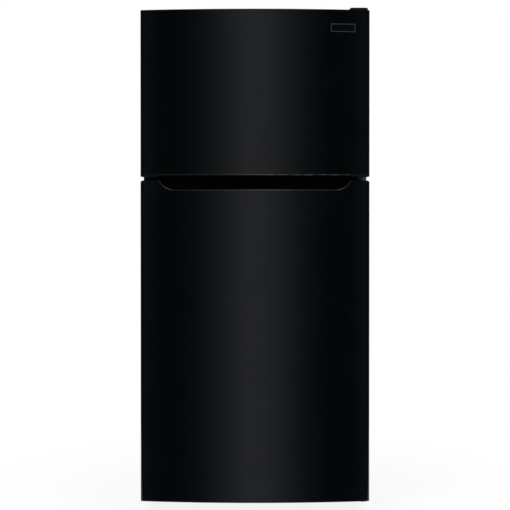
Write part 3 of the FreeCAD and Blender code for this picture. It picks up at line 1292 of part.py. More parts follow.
def tube(name, points, radius):
    """Straight tube runs, each along one axis, with a ball at every bend."""
    pieces = []
    for i, (start, end) in enumerate(zip(points, points[1:])):
        axis = next(k for k in range(3) if start[k] != end[k])
        low, high = sorted((start[axis], end[axis]), key=value)
        corner = [low if k == axis else start[k] for k in range(3)]
        pieces.append(rod(f"{name}Run{i}", "xyz"[axis], radius, corner, f"({high}) - ({low})"))
        if i:
            ball = doc.addObject("Part::Sphere", f"{name}Ball{i}")
            bind(ball, "Radius", radius)
            pieces.append(place(ball, *start))
    return pieces


def build_machine():
    z0 = "z_compressor"
    r, h = "compressor_radius", "compressor_height"
    dome = revolved("CompressorDome", [
        ("0", "0"),
        (f"{r} - 14", "0"),
        (r, "14"),
        (r, f"{h} - 45"),
        (f"{r} - 10", f"{h} - 14"),
        (f"{r} - 34", h),
        ("0", h),
    ])
    place(dome, "compressor_offset", "y_compressor", z0)
    base = box("CompressorFeet", ("compressor_offset - 82", "compressor_offset + 82"), ("y_compressor - 60", "y_compressor + 60"),
               (z0, f"{z0} + 3"))
    relay = box("Relay", ("compressor_offset - compressor_radius - 26", "compressor_offset - compressor_radius + 6"),
                ("y_compressor - 24", "y_compressor + 24"), (f"{z0} + 40", f"{z0} + 100"))
    grommets, studs = [], []
    for i, (sx, sy) in enumerate(((1, 1), (1, -1), (-1, 1), (-1, -1))):
        spot = (f"compressor_offset + {sx} * 70", f"y_compressor + {sy} * 48")
        studs.append(rod(f"MountHole{i}", "z", "mount_radius / 2", (*spot, f"{z0} - 1"), "10"))
        lower = rod(f"MountLow{i}", "z", "mount_radius", (*spot, "pan_height + channel_sheet"), "mount_height")
        neck = rod(f"MountNeck{i}", "z", "mount_radius / 2", (*spot, z0), "6")
        grommets.append(fuse(f"Mount{i}", [lower, neck]))
    plate = cut("CompressorPlate", base, studs)
    subpart("compressor", fuse("Compressor", [dome, plate, relay]))
    subpart("compressor_mounts", group("CompressorMounts", grommets))

    pan_x = ("x_condenser - condenser_half - 14", "x_condenser + condenser_half + 14")
    pan_z = "pan_height + channel_sheet"
    subpart("drip_pan", tray("DripPan", pan_x, ("y_machine + 18", "y_back - 30"),
                             (pan_z, f"{pan_z} + drip_pan_height"), "bin_wall", "liner_round"))

    low_z = f"{pan_z} + drip_pan_height + 12"
    layers = []
    for layer in range(CONDENSER_LAYERS):
        y = f"y_compressor + {layer - (CONDENSER_LAYERS - 1) / 2} * 40"
        layers.append(serpentine(f"Condenser{layer}", "condenser_half", CONDENSER_ROWS, "condenser_pitch",
                                 "condenser_radius", "x_condenser", y, low_z))
    straps = mirrored_pair("CondenserStrap", lambda label, side: box(
        label, (f"x_condenser + {side} * condenser_half / 2 - 5", f"x_condenser + {side} * condenser_half / 2 + 5"),
        ("y_compressor - 44", "y_compressor + 44"), (f"{low_z} - 1", f"{low_z} + 1")))
    legs = [box(f"CondenserLeg{i}", (f"x_condenser + {sx} * condenser_half / 2 - 5", f"x_condenser + {sx} * condenser_half / 2 + 5"),
                (f"y_compressor + {sy} * 50 - 7", f"y_compressor + {sy} * 50 - 4.5"), (f"{pan_z} + bin_wall", f"{low_z} + 1"))
            for i, (sx, sy) in enumerate(((1, 1), (1, -1), (-1, 1), (-1, -1)))]
    line_y = "y_compressor + 40"
    top_z = f"{low_z} + {CONDENSER_ROWS - 1} * condenser_pitch"
    line = tube("DischargeLine", [
        ("compressor_offset - compressor_radius + 4", line_y, f"{z0} + 20"),
        ("x_fan + 90", line_y, f"{z0} + 20"),
        ("x_fan + 90", "y_back - 16", f"{z0} + 20"),
        ("x_fan + 90", "y_back - 16", top_z),
        ("x_condenser", "y_back - 16", top_z),
        ("x_condenser", line_y, top_z),
    ], "condenser_radius")
    subpart("condenser", fuse("CondenserBody", [*layers, *straps, *legs, *line]))

    cover_z = ("underside_height + 2", "machine_height + 14")
    sheet = box("RearSheet", ("-cab_half + ledge", "cab_half - ledge"), ("y_back", "y_back + rear_cover_sheet"), cover_z)
    pads = mirrored_pair("RearPad", lambda label, side: box(
        label, (f"{side} * cab_half / 2 - 12", f"{side} * cab_half / 2 + 12"), ("y_back", "y_rear"),
        ("machine_height - 20", "machine_height + 10")))
    slots = []
    for row in range(REAR_SLOT_ROWS):
        for column in range(-3, 4):
            if column == 0:
                continue
            x = f"{column} * 1.4 * louver_length"
            z = f"underside_height + 30 + {row} * 18"
            slots.append(box(f"RearSlot{row}{column + 3}", (f"{x} - louver_length / 2", f"{x} + louver_length / 2"),
                             ("y_back - 1", "y_rear"), (z, f"{z} + louver_height")))
    gland_spot = ("0", "y_back - 1", "machine_height - 40")
    gland_hole = rod("GlandHole", "y", "gland_radius - 3", gland_spot, "rear_spacer + 2")
    holes = shanks("RearCoverHole", "running")
    subpart("rear_cover", cut("RearCover", fuse("RearCoverBody", [sheet, *pads]), [*slots, gland_hole, *holes]))

    flange = rod("GlandFlange", "y", "gland_radius", ("0", "y_back + rear_cover_sheet", "machine_height - 40"),
                 "rear_spacer - rear_cover_sheet - 1")
    barrel = rod("GlandBarrel", "y", "gland_radius - 3", ("0", "y_back - 12", "machine_height - 40"), "12 + rear_cover_sheet")
    bore = rod("GlandBore", "y", "gland_radius - 6", ("0", "y_back - 20", "machine_height - 40"), "40")
    subpart("cord_gland", cut("CordGland", fuse("GlandBody", [flange, barrel]), [bore]))


# ---------------------------------------------------------------- build, check and write

build_freezer_door()
build_fresh_door()
build_badge()
build_liners()
build_cabinet()
build_screws()
build_hinges()
build_hinge_cover()
build_chassis()
build_toe_grille()
build_shelves()
build_crispers()
build_controls()
build_wire_shelf()
build_evaporator()
build_machine()
doc.recompute()

broken = [item.Label for item in doc.Objects if {"Invalid", "Error"} & set(item.State)]
broken += [label for label, item in SUBPARTS.items() if item.Shape.isNull() or not item.Shape.isValid()]
if broken:
    sys.exit(f"These objects did not build: {', '.join(sorted(set(broken)))}")

os.makedirs("parts", exist_ok=True)
for label, item in SUBPARTS.items():
    item.Shape.exportStep(f"parts/{label}.step")
print(f"{len(SUBPARTS)} sub-parts written")
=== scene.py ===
"""Looks for the top freezer refrigerator: materials, fine detail, studio and camera, in metres."""

import json
import math

import bmesh
import bpy
from mathutils import Matrix, Vector


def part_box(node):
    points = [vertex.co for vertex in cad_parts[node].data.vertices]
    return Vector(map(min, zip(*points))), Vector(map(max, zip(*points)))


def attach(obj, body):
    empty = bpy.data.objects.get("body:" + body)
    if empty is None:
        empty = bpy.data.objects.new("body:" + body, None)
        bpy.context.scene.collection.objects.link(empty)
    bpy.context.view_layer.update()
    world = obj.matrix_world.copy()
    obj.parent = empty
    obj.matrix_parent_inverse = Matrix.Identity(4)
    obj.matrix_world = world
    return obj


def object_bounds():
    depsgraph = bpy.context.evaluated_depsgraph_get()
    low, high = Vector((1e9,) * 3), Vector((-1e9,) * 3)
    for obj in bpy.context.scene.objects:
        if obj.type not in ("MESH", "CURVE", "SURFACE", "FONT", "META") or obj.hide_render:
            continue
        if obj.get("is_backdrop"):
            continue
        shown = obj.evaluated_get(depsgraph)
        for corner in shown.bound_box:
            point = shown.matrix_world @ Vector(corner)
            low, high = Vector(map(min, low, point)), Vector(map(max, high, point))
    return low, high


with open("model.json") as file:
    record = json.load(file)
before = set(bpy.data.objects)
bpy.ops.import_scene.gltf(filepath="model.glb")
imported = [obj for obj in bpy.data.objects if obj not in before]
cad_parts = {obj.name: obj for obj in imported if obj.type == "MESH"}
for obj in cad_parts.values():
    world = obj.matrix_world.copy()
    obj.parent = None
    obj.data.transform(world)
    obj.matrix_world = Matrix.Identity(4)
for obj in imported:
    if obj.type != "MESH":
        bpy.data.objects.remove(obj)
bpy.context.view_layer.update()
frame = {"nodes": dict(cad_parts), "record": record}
NODES = frame["nodes"]


# ---------------------------------------------------------------- materials

def ramp(add, link, share, stops):
    """Grey levels along a share from 0 to 1, given as (share, level or colour)."""
    node = add("ShaderNodeValToRGB")
    link(share, node.inputs["Fac"])
    steps = node.color_ramp.elements
    for index, (position, level) in enumerate(stops):
        step = steps[index] if index < 2 else steps.new(position)
        step.position = position
        step.color = (*(level if isinstance(level, tuple) else (level,) * 3), 1)
    return node.outputs["Color"]


def maths(add, link, operation, first, second=None):
    node = add("ShaderNodeMath")
    node.operation = operation
    for socket, source in zip(node.inputs, (first, second)):
        if isinstance(source, bpy.types.NodeSocket):
            link(source, socket)
        elif source is not None:
            socket.default_value = source
    return node.outputs[0]


def mixed(add, link, factor, first, second):
    node = add("ShaderNodeMix")
    node.data_type = "RGBA"
    link(factor, node.inputs["Factor"])
    for key, source in (("A", first), ("B", second)):
        if isinstance(source, bpy.types.NodeSocket):
            link(source, node.inputs[key])
        else:
            node.inputs[key].default_value = (source, source, source, 1)
    return node.outputs["Result"]


class Shader:
    """A Principled material with a few short ways to wire its detail."""

    def __init__(self, name, color, roughness, metallic=0.0, **sockets):
        self.material = bpy.data.materials.new(name)
        self.material.use_nodes = True
        self.tree = self.material.node_tree
        self.bsdf = self.tree.nodes["Principled BSDF"]
        self.color = (*color, 1.0)
        self.bsdf.inputs["Base Color"].default_value = self.color
        self.bsdf.inputs["Roughness"].default_value = roughness
        self.bsdf.inputs["Metallic"].default_value = metallic
        for socket, number in sockets.items():
            self.bsdf.inputs[socket.replace("_", " ")].default_value = number
        self.coords = self.tree.nodes.new("ShaderNodeTexCoord").outputs["Object"]
        self.heights = []

    def add(self, kind, **inputs):
        node = self.tree.nodes.new(kind)
        for key, source in inputs.items():
            socket = node.inputs[key.replace("_", " ")]
            if isinstance(source, bpy.types.NodeSocket):
                self.tree.links.new(source, socket)
            else:
                socket.default_value = source
        return node

    def noise(self, scale, stretch=(1, 1, 1), detail=3.0, rough=0.5):
        spread = self.add("ShaderNodeMapping", Vector=self.coords, Scale=stretch)
        return self.add("ShaderNodeTexNoise", Vector=spread.outputs["Vector"], Scale=scale, Detail=detail,
                        Roughness=rough).outputs["Fac"]

    def cells(self, scale, stretch=(1, 1, 1), output="Distance"):
        spread = self.add("ShaderNodeMapping", Vector=self.coords, Scale=stretch)
        return self.add("ShaderNodeTexVoronoi", Vector=spread.outputs["Vector"], Scale=scale).outputs[output]

    def remap(self, source, low, high, start=0.3, end=0.7):
        node = self.add("ShaderNodeMapRange", Value=source)
        for key, number in (("From Min", start), ("From Max", end), ("To Min", low), ("To Max", high)):
            node.inputs[key].default_value = number
        return node.outputs["Result"]

    def maths(self, operation, first, second=None):
        return maths(self.tree.nodes.new, self.tree.links.new, operation, first, second)

    def vary_color(self, source, other, start=0.3, end=0.7):
        """Drifts the base colour towards another one."""
        mix = self.tree.nodes.new("ShaderNodeMix")
        mix.data_type = "RGBA"
        before = self.bsdf.inputs["Base Color"]
        if before.is_linked:
            self.tree.links.new(before.links[0].from_socket, mix.inputs["A"])
        else:
            mix.inputs["A"].default_value = self.color
        mix.inputs["B"].default_value = (*other, 1.0)
        self.tree.links.new(self.remap(source, 0.0, 1.0, start, end), mix.inputs["Factor"])
        self.tree.links.new(mix.outputs["Result"], before)
        return self

    def vary_roughness(self, source, low, high, start=0.3, end=0.7):
        self.tree.links.new(self.remap(source, low, high, start, end), self.bsdf.inputs["Roughness"])
        return self

    def bump(self, source, depth, strength=1.0):
        """Adds relief of a depth in metres on top of what is there."""
        normal = self.bsdf.inputs["Normal"]
        node = self.add("ShaderNodeBump", Height=source, Distance=depth, Strength=strength)
        if normal.is_linked:
            self.tree.links.new(normal.links[0].from_socket, node.inputs["Normal"])
        self.tree.links.new(node.outputs["Normal"], normal)
        return self


def enamel(name, color=(0.0008, 0.0011, 0.0014), roughness=0.10):
    """Baked black enamel: faint orange peel, a little uneven gloss."""
    s = Shader(name, color, roughness)
    s.vary_color(s.noise(9.0, detail=5.0), tuple(c * 1.5 for c in color))
    s.vary_roughness(s.noise(30.0, detail=4.0), roughness - 0.015, roughness + 0.025)
    s.bump(s.noise(260.0, detail=1.0), 0.000014, 0.45)
    return s.material


def moulded_shader(name, color, other, roughness, grain=900.0, depth=0.00004, **sockets):
    s = Shader(name, color, roughness, **sockets)
    s.vary_color(s.noise(14.0, detail=4.0), other)
    s.vary_roughness(s.noise(60.0), roughness - 0.04, roughness + 0.06)
    s.bump(s.cells(grain), depth, 0.6)
    s.bump(s.noise(35.0, detail=1.0), depth * 0.8, 0.4)
    return s


def moulded(*words, **sockets):
    """Moulded plastic with a fine spark-eroded grain."""
    return moulded_shader(*words, **sockets).material


def door_trim(name, color=(0.0030, 0.0034, 0.0038)):
    """Gloss black door plastic whose finger recess has a rougher finish and painted shade: there it turns into a
    near-black metal, so it renders darker than the glossy lips.

    Depth is measured from the doors' curved front, so the lips stay glossy all along."""
    s = moulded_shader(name, color, tuple(c * 1.3 for c in color), 0.13, 1500.0, 0.000006)
    low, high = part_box("freezer_door_skin")
    half = (high.x - low.x) / 2
    split = s.add("ShaderNodeSeparateXYZ", Vector=s.coords)
    bow = s.maths("MULTIPLY", s.maths("MULTIPLY", split.outputs["X"], split.outputs["X"]), DOOR_BOW / half ** 2)
    depth = s.maths("SUBTRACT", split.outputs["Y"], bow)
    recess = s.remap(depth, 0.0, 1.0, low.y + LIP_DEPTH, low.y + LIP_DEPTH + 0.002)
    # Painted shade in the finger recess: it becomes a near-black metal that takes no diffuse light and reflects weakly,
    # so the recess renders darker; the raised roughness below is the matt finish.
    s.vary_color(recess, (0.012, 0.014, 0.017), 0.0, 1.0)
    s.tree.links.new(recess, s.bsdf.inputs["Metallic"])
    smooth = s.bsdf.inputs["Roughness"].links[0].from_socket
    s.tree.links.new(s.maths("MAXIMUM", smooth, s.maths("MULTIPLY", recess, 0.6)), s.bsdf.inputs["Roughness"])
    return s.material


def liner(name):
    """Vacuum-formed white sheet: glossy, gently uneven."""
    s = Shader(name, (0.80, 0.815, 0.82), 0.22)
    s.vary_color(s.noise(5.0, detail=4.0), (0.76, 0.78, 0.785))
    s.vary_roughness(s.noise(22.0), 0.26, 0.36)
    s.bump(s.noise(5.0, detail=0.0), 0.0001, 0.1)
    s.bump(s.noise(240.0, detail=1.0), 0.00002, 0.15)
    return s.material


def clear(name, tint, roughness, ior=1.49):
    s = Shader(name, tint, roughness, Transmission_Weight=1.0, IOR=ior)
    s.vary_roughness(s.noise(40.0, detail=4.0), roughness, roughness + 0.07)
    s.bump(s.noise(18.0, detail=1.0), 0.0002, 0.25)
    return s.material


def plated(name, color, other, roughness):
    """Zinc plating over rolled steel, with faint drawing marks."""
    s = Shader(name, color, roughness, 1.0)
    s.vary_color(s.noise(45.0, detail=5.0), other)
    s.vary_roughness(s.noise(120.0, (1, 1, 8)), roughness - 0.08, roughness + 0.12)
    s.bump(s.noise(900.0, (1, 1, 0.08), detail=2.0), 0.00003, 0.5)
    return s.material


def galvanised(name):
    """Hot-dipped sheet: each crystal of the spangle has its own tone."""
    s = Shader(name, (0.46, 0.48, 0.50), 0.42, 1.0)
    tone = s.maths("MULTIPLY", s.cells(70.0, output="Color"), 1.0)
    s.vary_color(tone, (0.40, 0.42, 0.44), 0.0, 1.0)
    s.vary_color(s.noise(3.0, detail=4.0), (0.42, 0.44, 0.46), 0.3, 0.7)
    s.vary_roughness(tone, 0.36, 0.48, 0.0, 1.0)
    s.bump(s.noise(300.0, detail=3.0), 0.00004, 0.5)
    return s.material


def pebbled(name, color=(0.0016, 0.0019, 0.0022)):
    """Textured black enamel of the cabinet's sides and top."""
    s = Shader(name, color, 0.36, Specular_IOR_Level=0.18)
    s.vary_color(s.noise(12.0, detail=5.0), tuple(c * 1.6 for c in color))
    s.vary_roughness(s.noise(40.0, detail=4.0), 0.32, 0.44)
    s.bump(s.cells(420.0), 0.00006, 0.35)
    return s.material


def vinyl(name, color):
    s = Shader(name, color, 0.62, Sheen_Weight=0.08)
    s.vary_color(s.noise(30.0, detail=5.0), tuple(c * 1.5 for c in color))
    s.vary_roughness(s.noise(90.0), 0.55, 0.72)
    s.bump(s.noise(1400.0, detail=2.0), 0.00005, 0.6)
    return s.material


def foam(name):
    s = Shader(name, (0.72, 0.60, 0.33), 0.9)
    s.vary_color(s.noise(60.0, detail=6.0), (0.60, 0.47, 0.22))
    s.bump(s.cells(500.0), 0.0006, 0.8)
    return s.material


def pressed_board(name):
    """Dark fibre board with tangled fibres and a hard face."""
    s = Shader(name, (0.045, 0.04, 0.036), 0.7)
    s.vary_color(s.noise(420.0, (1, 0.2, 1), detail=6.0), (0.085, 0.075, 0.065))
    s.vary_roughness(s.noise(80.0), 0.6, 0.8)
    s.bump(s.noise(800.0, (1, 0.2, 3), detail=5.0), 0.00015, 0.6)
    return s.material


def coated_wire(name):
    s = Shader(name, (0.80, 0.81, 0.80), 0.32)
    s.vary_color(s.noise(40.0, detail=4.0), (0.72, 0.73, 0.71))
    s.vary_roughness(s.noise(200.0), 0.26, 0.42)
    s.bump(s.noise(350.0, detail=2.0), 0.00006, 0.5)
    return s.material


def badge_material(name):
    """Black plate inside a thin polished rim, told apart by place on the plate."""
    low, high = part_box("badge")
    s = Shader(name, (0.0012, 0.0013, 0.0015), 0.12)
    split = s.add("ShaderNodeSeparateXYZ", Vector=s.coords)
    masks = []
    for axis, key in ((0, "X"), (2, "Z")):
        middle, reach = (low[axis] + high[axis]) / 2, (high[axis] - low[axis]) / 2
        away = s.maths("ABSOLUTE", s.maths("SUBTRACT", split.outputs[key], middle))
        masks.append(s.remap(away, 0.0, 1.0, reach - BADGE_RIM - 0.0001, reach - BADGE_RIM))
    rim = s.maths("MAXIMUM", *masks)
    s.vary_color(rim, (0.060, 0.064, 0.066), 0.0, 1.0)
    s.tree.links.new(s.maths("MULTIPLY", rim, 0.35), s.bsdf.inputs["Metallic"])
    s.vary_roughness(s.noise(300.0), 0.10, 0.18)
    s.bump(s.noise(1200.0, (0.1, 1, 1)), 0.00001, 0.4)
    return s.material


BADGE_RIM = 0.002
LIP_DEPTH = 0.0065
DOOR_BOW = 0.024


def slot_materials():
    """One finished material for each slot of the record."""
    return {
        "black_enamel": enamel("black_enamel"),
        "black_trim": moulded("black_trim", (0.0035, 0.0037, 0.004), (0.0055, 0.0058, 0.0062), 0.27),
        "black_gasket": vinyl("black_gasket", (0.012, 0.012, 0.013)),
        "foam": foam("foam"),
        "white_liner": liner("white_liner"),
        "white_trim": moulded("white_trim", (0.78, 0.79, 0.79), (0.73, 0.745, 0.745), 0.38),
        "clear_plastic": clear("clear_plastic", (0.93, 0.955, 0.96), 0.06),
        "shelf_glass": clear("shelf_glass", (0.90, 0.965, 0.945), 0.0, 1.52),
        "lamp_diffuser": moulded("lamp_diffuser", (0.86, 0.86, 0.83), (0.80, 0.80, 0.77), 0.35,
                                 Transmission_Weight=0.5),
        "zinc_steel": plated("zinc_steel", (0.50, 0.51, 0.52), (0.42, 0.43, 0.44), 0.34),
        "galvanised": galvanised("galvanised"),
        "nylon": moulded("nylon", (0.60, 0.59, 0.53), (0.52, 0.50, 0.44), 0.45),
        "grey_plastic": moulded("grey_plastic", (0.10, 0.105, 0.11), (0.13, 0.135, 0.14), 0.4),
        "badge_black": badge_material("badge_black"),
        "white_wire": coated_wire("white_wire"),
        "aluminium_fins": plated("aluminium_fins", (0.74, 0.75, 0.76), (0.66, 0.67, 0.68), 0.3),
        "compressor_black": enamel("compressor_black", (0.006, 0.006, 0.006), 0.38),
        "rubber_mount": vinyl("rubber_mount", (0.016, 0.016, 0.016)),
        "condenser_black": enamel("condenser_black", (0.008, 0.008, 0.008), 0.42),
        "hardboard": pressed_board("hardboard"),
    }


MATERIALS = slot_materials()


def dress_cad_nodes():
    dull = moulded("dull_black", (0.0022, 0.0025, 0.003), (0.0035, 0.004, 0.0045), 0.6, Specular_IOR_Level=0.15)
    special = {
        "freezer_door_grip": door_trim("door_grip"),
        "fresh_food_door_handle": door_trim("door_handle"),
        "top_hinge_cover": moulded("hinge_cover", (0.0022, 0.0026, 0.003), (0.0035, 0.004, 0.0045), 0.42,
                                   Specular_IOR_Level=0.22),
        "mullion_rail": dull,
        "cabinet_wrapper": pebbled("cabinet_enamel"),
    }
    for part in frame["record"]["subparts"]:
        mesh_object = NODES[part["node"]]
        mesh_object.data.materials.clear()
        mesh_object.data.materials.append(special.get(part["node"], MATERIALS[part["material_slot"]]))


# ---------------------------------------------------------------- fine detail

SPACES = {space["name"]: [Vector(corner) for corner in space["box_m"]]
          for space in frame["record"]["physics"]["openings"]}


def middle_of(node):
    low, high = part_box(node)
    return (low + high) / 2


def piece(name, body, slot_name, shape, smooth=False, material=None):
    """Turns a finished shape into an object that rides on a body."""
    bmesh.ops.recalc_face_normals(shape, faces=shape.faces)
    mesh = bpy.data.meshes.new(name)
    shape.to_mesh(mesh)
    shape.free()
    for face in mesh.polygons:
        face.use_smooth = smooth
    made = bpy.data.objects.new(name, mesh)
    bpy.context.collection.objects.link(made)
    made.data.materials.append(material or MATERIALS[slot_name])
    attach(made, body)
    return made


def soft_bar(shape, low, high, bevel=0.0008, steps=2):
    """A bar between two corners with rounded edges."""
    low, high = Vector(low), Vector(high)
    size = high - low
    matrix = Matrix.Translation((low + high) / 2) @ Matrix.Diagonal((*size, 1))
    verts = bmesh.ops.create_cube(shape, size=1.0, matrix=matrix)["verts"]
    edges = list({edge for vert in verts for edge in vert.link_edges})
    bmesh.ops.bevel(shape, geom=edges, offset=min(bevel, min(size) * 0.45), segments=steps, affect="EDGES",
                    profile=0.5)


def turned(shape, center, axis, profile, count=40):
    """A lathed form: radius and height pairs along an axis from a centre."""
    turn = Vector((0, 0, 1)).rotation_difference(Vector(axis)).to_matrix()
    rings = []
    for radius, height in profile:
        ring = []
        for i in range(count if radius > 0 else 1):
            angle = 2 * math.pi * i / count
            local = Vector((radius * math.cos(angle), radius * math.sin(angle), height))
            ring.append(shape.verts.new(Vector(center) + turn @ local))
        rings.append(ring)
    for first, second in zip(rings, rings[1:]):
        for i in range(count):
            j = (i + 1) % count
            corners = [first[i % len(first)], first[j % len(first)], second[j % len(second)], second[i % len(second)]]
            shape.faces.new(list(dict.fromkeys(corners)))


def pipe(name, body, slot_name, points, radius, material=None):
    """A bent tube on one smooth line."""
    curve = bpy.data.curves.new(name, "CURVE")
    curve.dimensions = "3D"
    spline = curve.splines.new("NURBS")
    spline.points.add(len(points) - 1)
    for spot, point in zip(spline.points, points):
        spot.co = (*point, 1)
    spline.order_u = 3
    spline.use_endpoint_u = True
    curve.bevel_depth = radius
    curve.bevel_resolution = 4
    curve.resolution_u = 10
    curve.use_fill_caps = True
    made = bpy.data.objects.new(name, curve)
    bpy.context.collection.objects.link(made)
    made.data.materials.append(material or MATERIALS[slot_name])
    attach(made, body)
    return made


def bin_rails():
    """White retainer bars clipped over the front edge of each door bin."""
    for body, names in (("fresh_food_door", ("door_bin_low", "door_bin_middle", "door_bin_high")),
                        ("freezer_door", ("freezer_rack_low", "freezer_rack_high"))):
        for name in names:
            low, high = SPACES[name]
            shape = bmesh.new()
            front, top = high.y + 0.006, high.z + 0.002
            side = 0.0145
            soft_bar(shape, (low.x - side, front - 0.0045, top - 0.014), (high.x + side, front + 0.0025, top + 0.002),
                     0.002, 3)
            soft_bar(shape, (low.x + 0.02, front + 0.0015, top - 0.0075), (high.x - 0.02, front + 0.0036, top - 0.0045),
                     0.001)
            piece(name + "_rail", body, "white_trim", shape)


def door_flutes():
    """Moulded upright ribs on the door liners, between one bin and the next."""
    runs = {
        "fresh_food_door": [(SPACES["door_bin_low"][1].z, SPACES["door_bin_middle"][0].z),
                            (SPACES["door_bin_middle"][1].z, SPACES["door_bin_high"][0].z),
                            (SPACES["door_bin_high"][1].z, SPACES["dairy_space"][0].z)],
        "freezer_door": [(SPACES["freezer_rack_low"][1].z, SPACES["freezer_rack_high"][0].z)],
    }
    for body, spans in runs.items():
        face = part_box(body + "_gasket")[0].y
        half = SPACES["door_bin_low"][1].x - 0.02
        shape = bmesh.new()
        for bottom, top in spans:
            for i in range(DOOR_FLUTES):
                x = -half + 2 * half * i / (DOOR_FLUTES - 1)
                soft_bar(shape, (x - 0.005, face - 0.0004, bottom + 0.022), (x + 0.005, face + 0.0022, top - 0.022),
                         0.0011, 3)
        piece(body + "_flutes", body, "white_liner", shape)


def crisper_fronts():
    """A raised border moulded round the front of each drawer."""
    for side in ("left", "right"):
        low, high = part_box(f"crisper_{side}")
        shape = bmesh.new()
        front = SPACES[f"crisper_{side}_space"][0].y - 0.008
        left, right, bottom, top = low.x + 0.024, high.x - 0.024, low.z + 0.024, high.z - 0.034
        back, out, wide = front + 0.0004, front - 0.0018, 0.004
        for corners in (((left, out, bottom), (right, back, bottom + wide)), ((left, out, top - wide), (right, back, top)),
                        ((left, out, bottom), (left + wide, back, top)), ((right - wide, out, bottom), (right, back, top))):
            soft_bar(shape, *corners, 0.0009)
        piece(f"crisper_{side}_border", f"crisper_drawer_{side}", "clear_plastic", shape)


def air_vents():
    """Slotted cold-air outlets on the back wall of the fresh-food compartment."""
    wall = SPACES["fresh_space_high"][1].y + 0.014
    top = SPACES["fresh_space_high"][1].z
    shape = bmesh.new()
    for middle in (-0.12, 0.12):
        wide, tall = 0.055, 0.034
        for low, high in (((-wide, -tall), (wide, -tall + 0.005)), ((-wide, tall - 0.005), (wide, tall)),
                          ((-wide, -tall), (-wide + 0.005, tall)), ((wide - 0.005, -tall), (wide, tall))):
            soft_bar(shape, (middle + low[0], wall - 0.006, top - 0.05 + low[1]),
                     (middle + high[0], wall - 0.0002, top - 0.05 + high[1]), 0.0012)
        for i in range(5):
            z = top - 0.05 + (i - 2) * 0.0105
            soft_bar(shape, (middle - wide + 0.004, wall - 0.0045, z - 0.002), (middle + wide - 0.004, wall - 0.0002, z + 0.002))
    piece("air_vents", "cabinet", "white_trim", shape)


def evaporator_ribs():
    """Stiffening beads on the freezer's rear cover, over the wire shelf."""
    low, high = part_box("evaporator_cover")
    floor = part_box("wire_shelf")[1].z + 0.03
    shape = bmesh.new()
    for x in (-0.26, -0.2, -0.14, 0.14, 0.2, 0.26):
        soft_bar(shape, (x - 0.006, low.y - 0.002, floor), (x + 0.006, low.y + 0.0004, high.z - 0.03), 0.0012, 3)
    piece("evaporator_cover_beads", "cabinet", "white_trim", shape)


def knob_mark():
    low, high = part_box("temperature_knob")
    shape = bmesh.new()
    middle = (low.x + high.x) / 2
    soft_bar(shape, (middle - 0.0007, low.y - 0.0003, high.z - 0.011), (middle + 0.0007, low.y + 0.0004, high.z - 0.0035),
             0.0002)
    piece("knob_mark", "thermostat_knob", "white_trim", shape)


def back_beads():
    """Pressed beads and foam-port plugs on the rear sheet."""
    low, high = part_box("cabinet_back_panel")
    face = high.y
    shape = bmesh.new()
    inset, wide, rise = 0.06, 0.020, 0.0042
    left, right, bottom, top = low.x + inset, high.x - inset, low.z + inset, high.z - inset
    bars = [((left + wide, bottom), (right - wide, bottom + wide)), ((left + wide, top - wide), (right - wide, top)),
            ((left, bottom), (left + wide, top)), ((right - wide, bottom), (right, top))]
    bars += [((x - wide / 2, bottom + 0.05), (x + wide / 2, top - 0.05)) for x in (-0.14, 0.0, 0.14)]
    for (x0, z0), (x1, z1) in bars:
        soft_bar(shape, (x0, face - 0.0006, z0), (x1, face + rise, z1), 0.0021, 4)
    piece("back_panel_beads", "cabinet", "galvanised", shape)
    plugs = bmesh.new()
    for x in (left / 2 + -0.07, right / 2 + 0.07):
        turned(plugs, (x, face, bottom + 0.16), (0, 1, 0),
               [(0.0175, -0.0004), (0.0175, 0.0012), (0.0162, 0.0022), (0.009, 0.0026), (0.0082, 0.0019), (0, 0.0019)])
    piece("foam_port_plugs", "cabinet", "grey_plastic", plugs, True)


def islands(node):
    """The vertex clouds of the separate solids in one CAD node."""
    shape = bmesh.new()
    shape.from_mesh(NODES[node].data)
    bmesh.ops.remove_doubles(shape, verts=shape.verts, dist=1e-6)
    left = set(shape.verts)
    while left:
        group, queue = [], [min(left, key=lambda v: v.index)]
        left.discard(queue[0])
        while queue:
            vert = queue.pop()
            group.append(vert.co.copy())
            for edge in vert.link_edges:
                other = edge.other_vert(vert)
                if other in left:
                    left.discard(other)
                    queue.append(other)
        yield group
    shape.free()


def screw_cross_painted_shade():
    """Painted shade for the cross recess in the head of every cabinet screw: a thin black cross standing just proud of
    the head.
    """
    shape = bmesh.new()
    for cloud in islands("cabinet_screws"):
        low = Vector([min(p[k] for p in cloud) for k in range(3)])
        high = Vector([max(p[k] for p in cloud) for k in range(3)])
        size, center = high - low, (low + high) / 2
        axis = max(range(3), key=lambda k: size[k])
        ends = {}
        for end in (low[axis], high[axis]):
            near_end = [p for p in cloud if abs(p[axis] - end) < 1e-4]
            ends[end] = max((Vector([p[k] - center[k] for k in range(3) if k != axis]).length for p in near_end))
        head = max(ends, key=ends.get)
        outward = 1 if head == high[axis] else -1
        for arm in [k for k in range(3) if k != axis]:
            reach = Vector((0.0005,) * 3)
            reach[arm] = 0.0026
            reach[axis] = 0.00025
            spot = center.copy()
            spot[axis] = head + outward * 0.0001
            soft_bar(shape, spot - reach, spot + reach, 0.0001, 1)
    # the black crosses are painted shade standing in for the hollow recesses
    piece("screw_cross_painted_shade", "cabinet", "black_trim", shape)


def leg_collars():
    for side in ("left", "right"):
        node = f"leveling_leg_{side}"
        low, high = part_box(node)
        center = (low + high) / 2
        shape = bmesh.new()
        turned(shape, (center.x, center.y, low.z + 0.0085), (0, 0, 1),
               [(0, 0), (0.0095, 0), (0.0108, 0.0012), (0.0108, 0.0068), (0.0095, 0.008), (0, 0.008)], 6)
        piece(f"leg_{side}_collar", f"leg_{side}", "zinc_steel", shape)


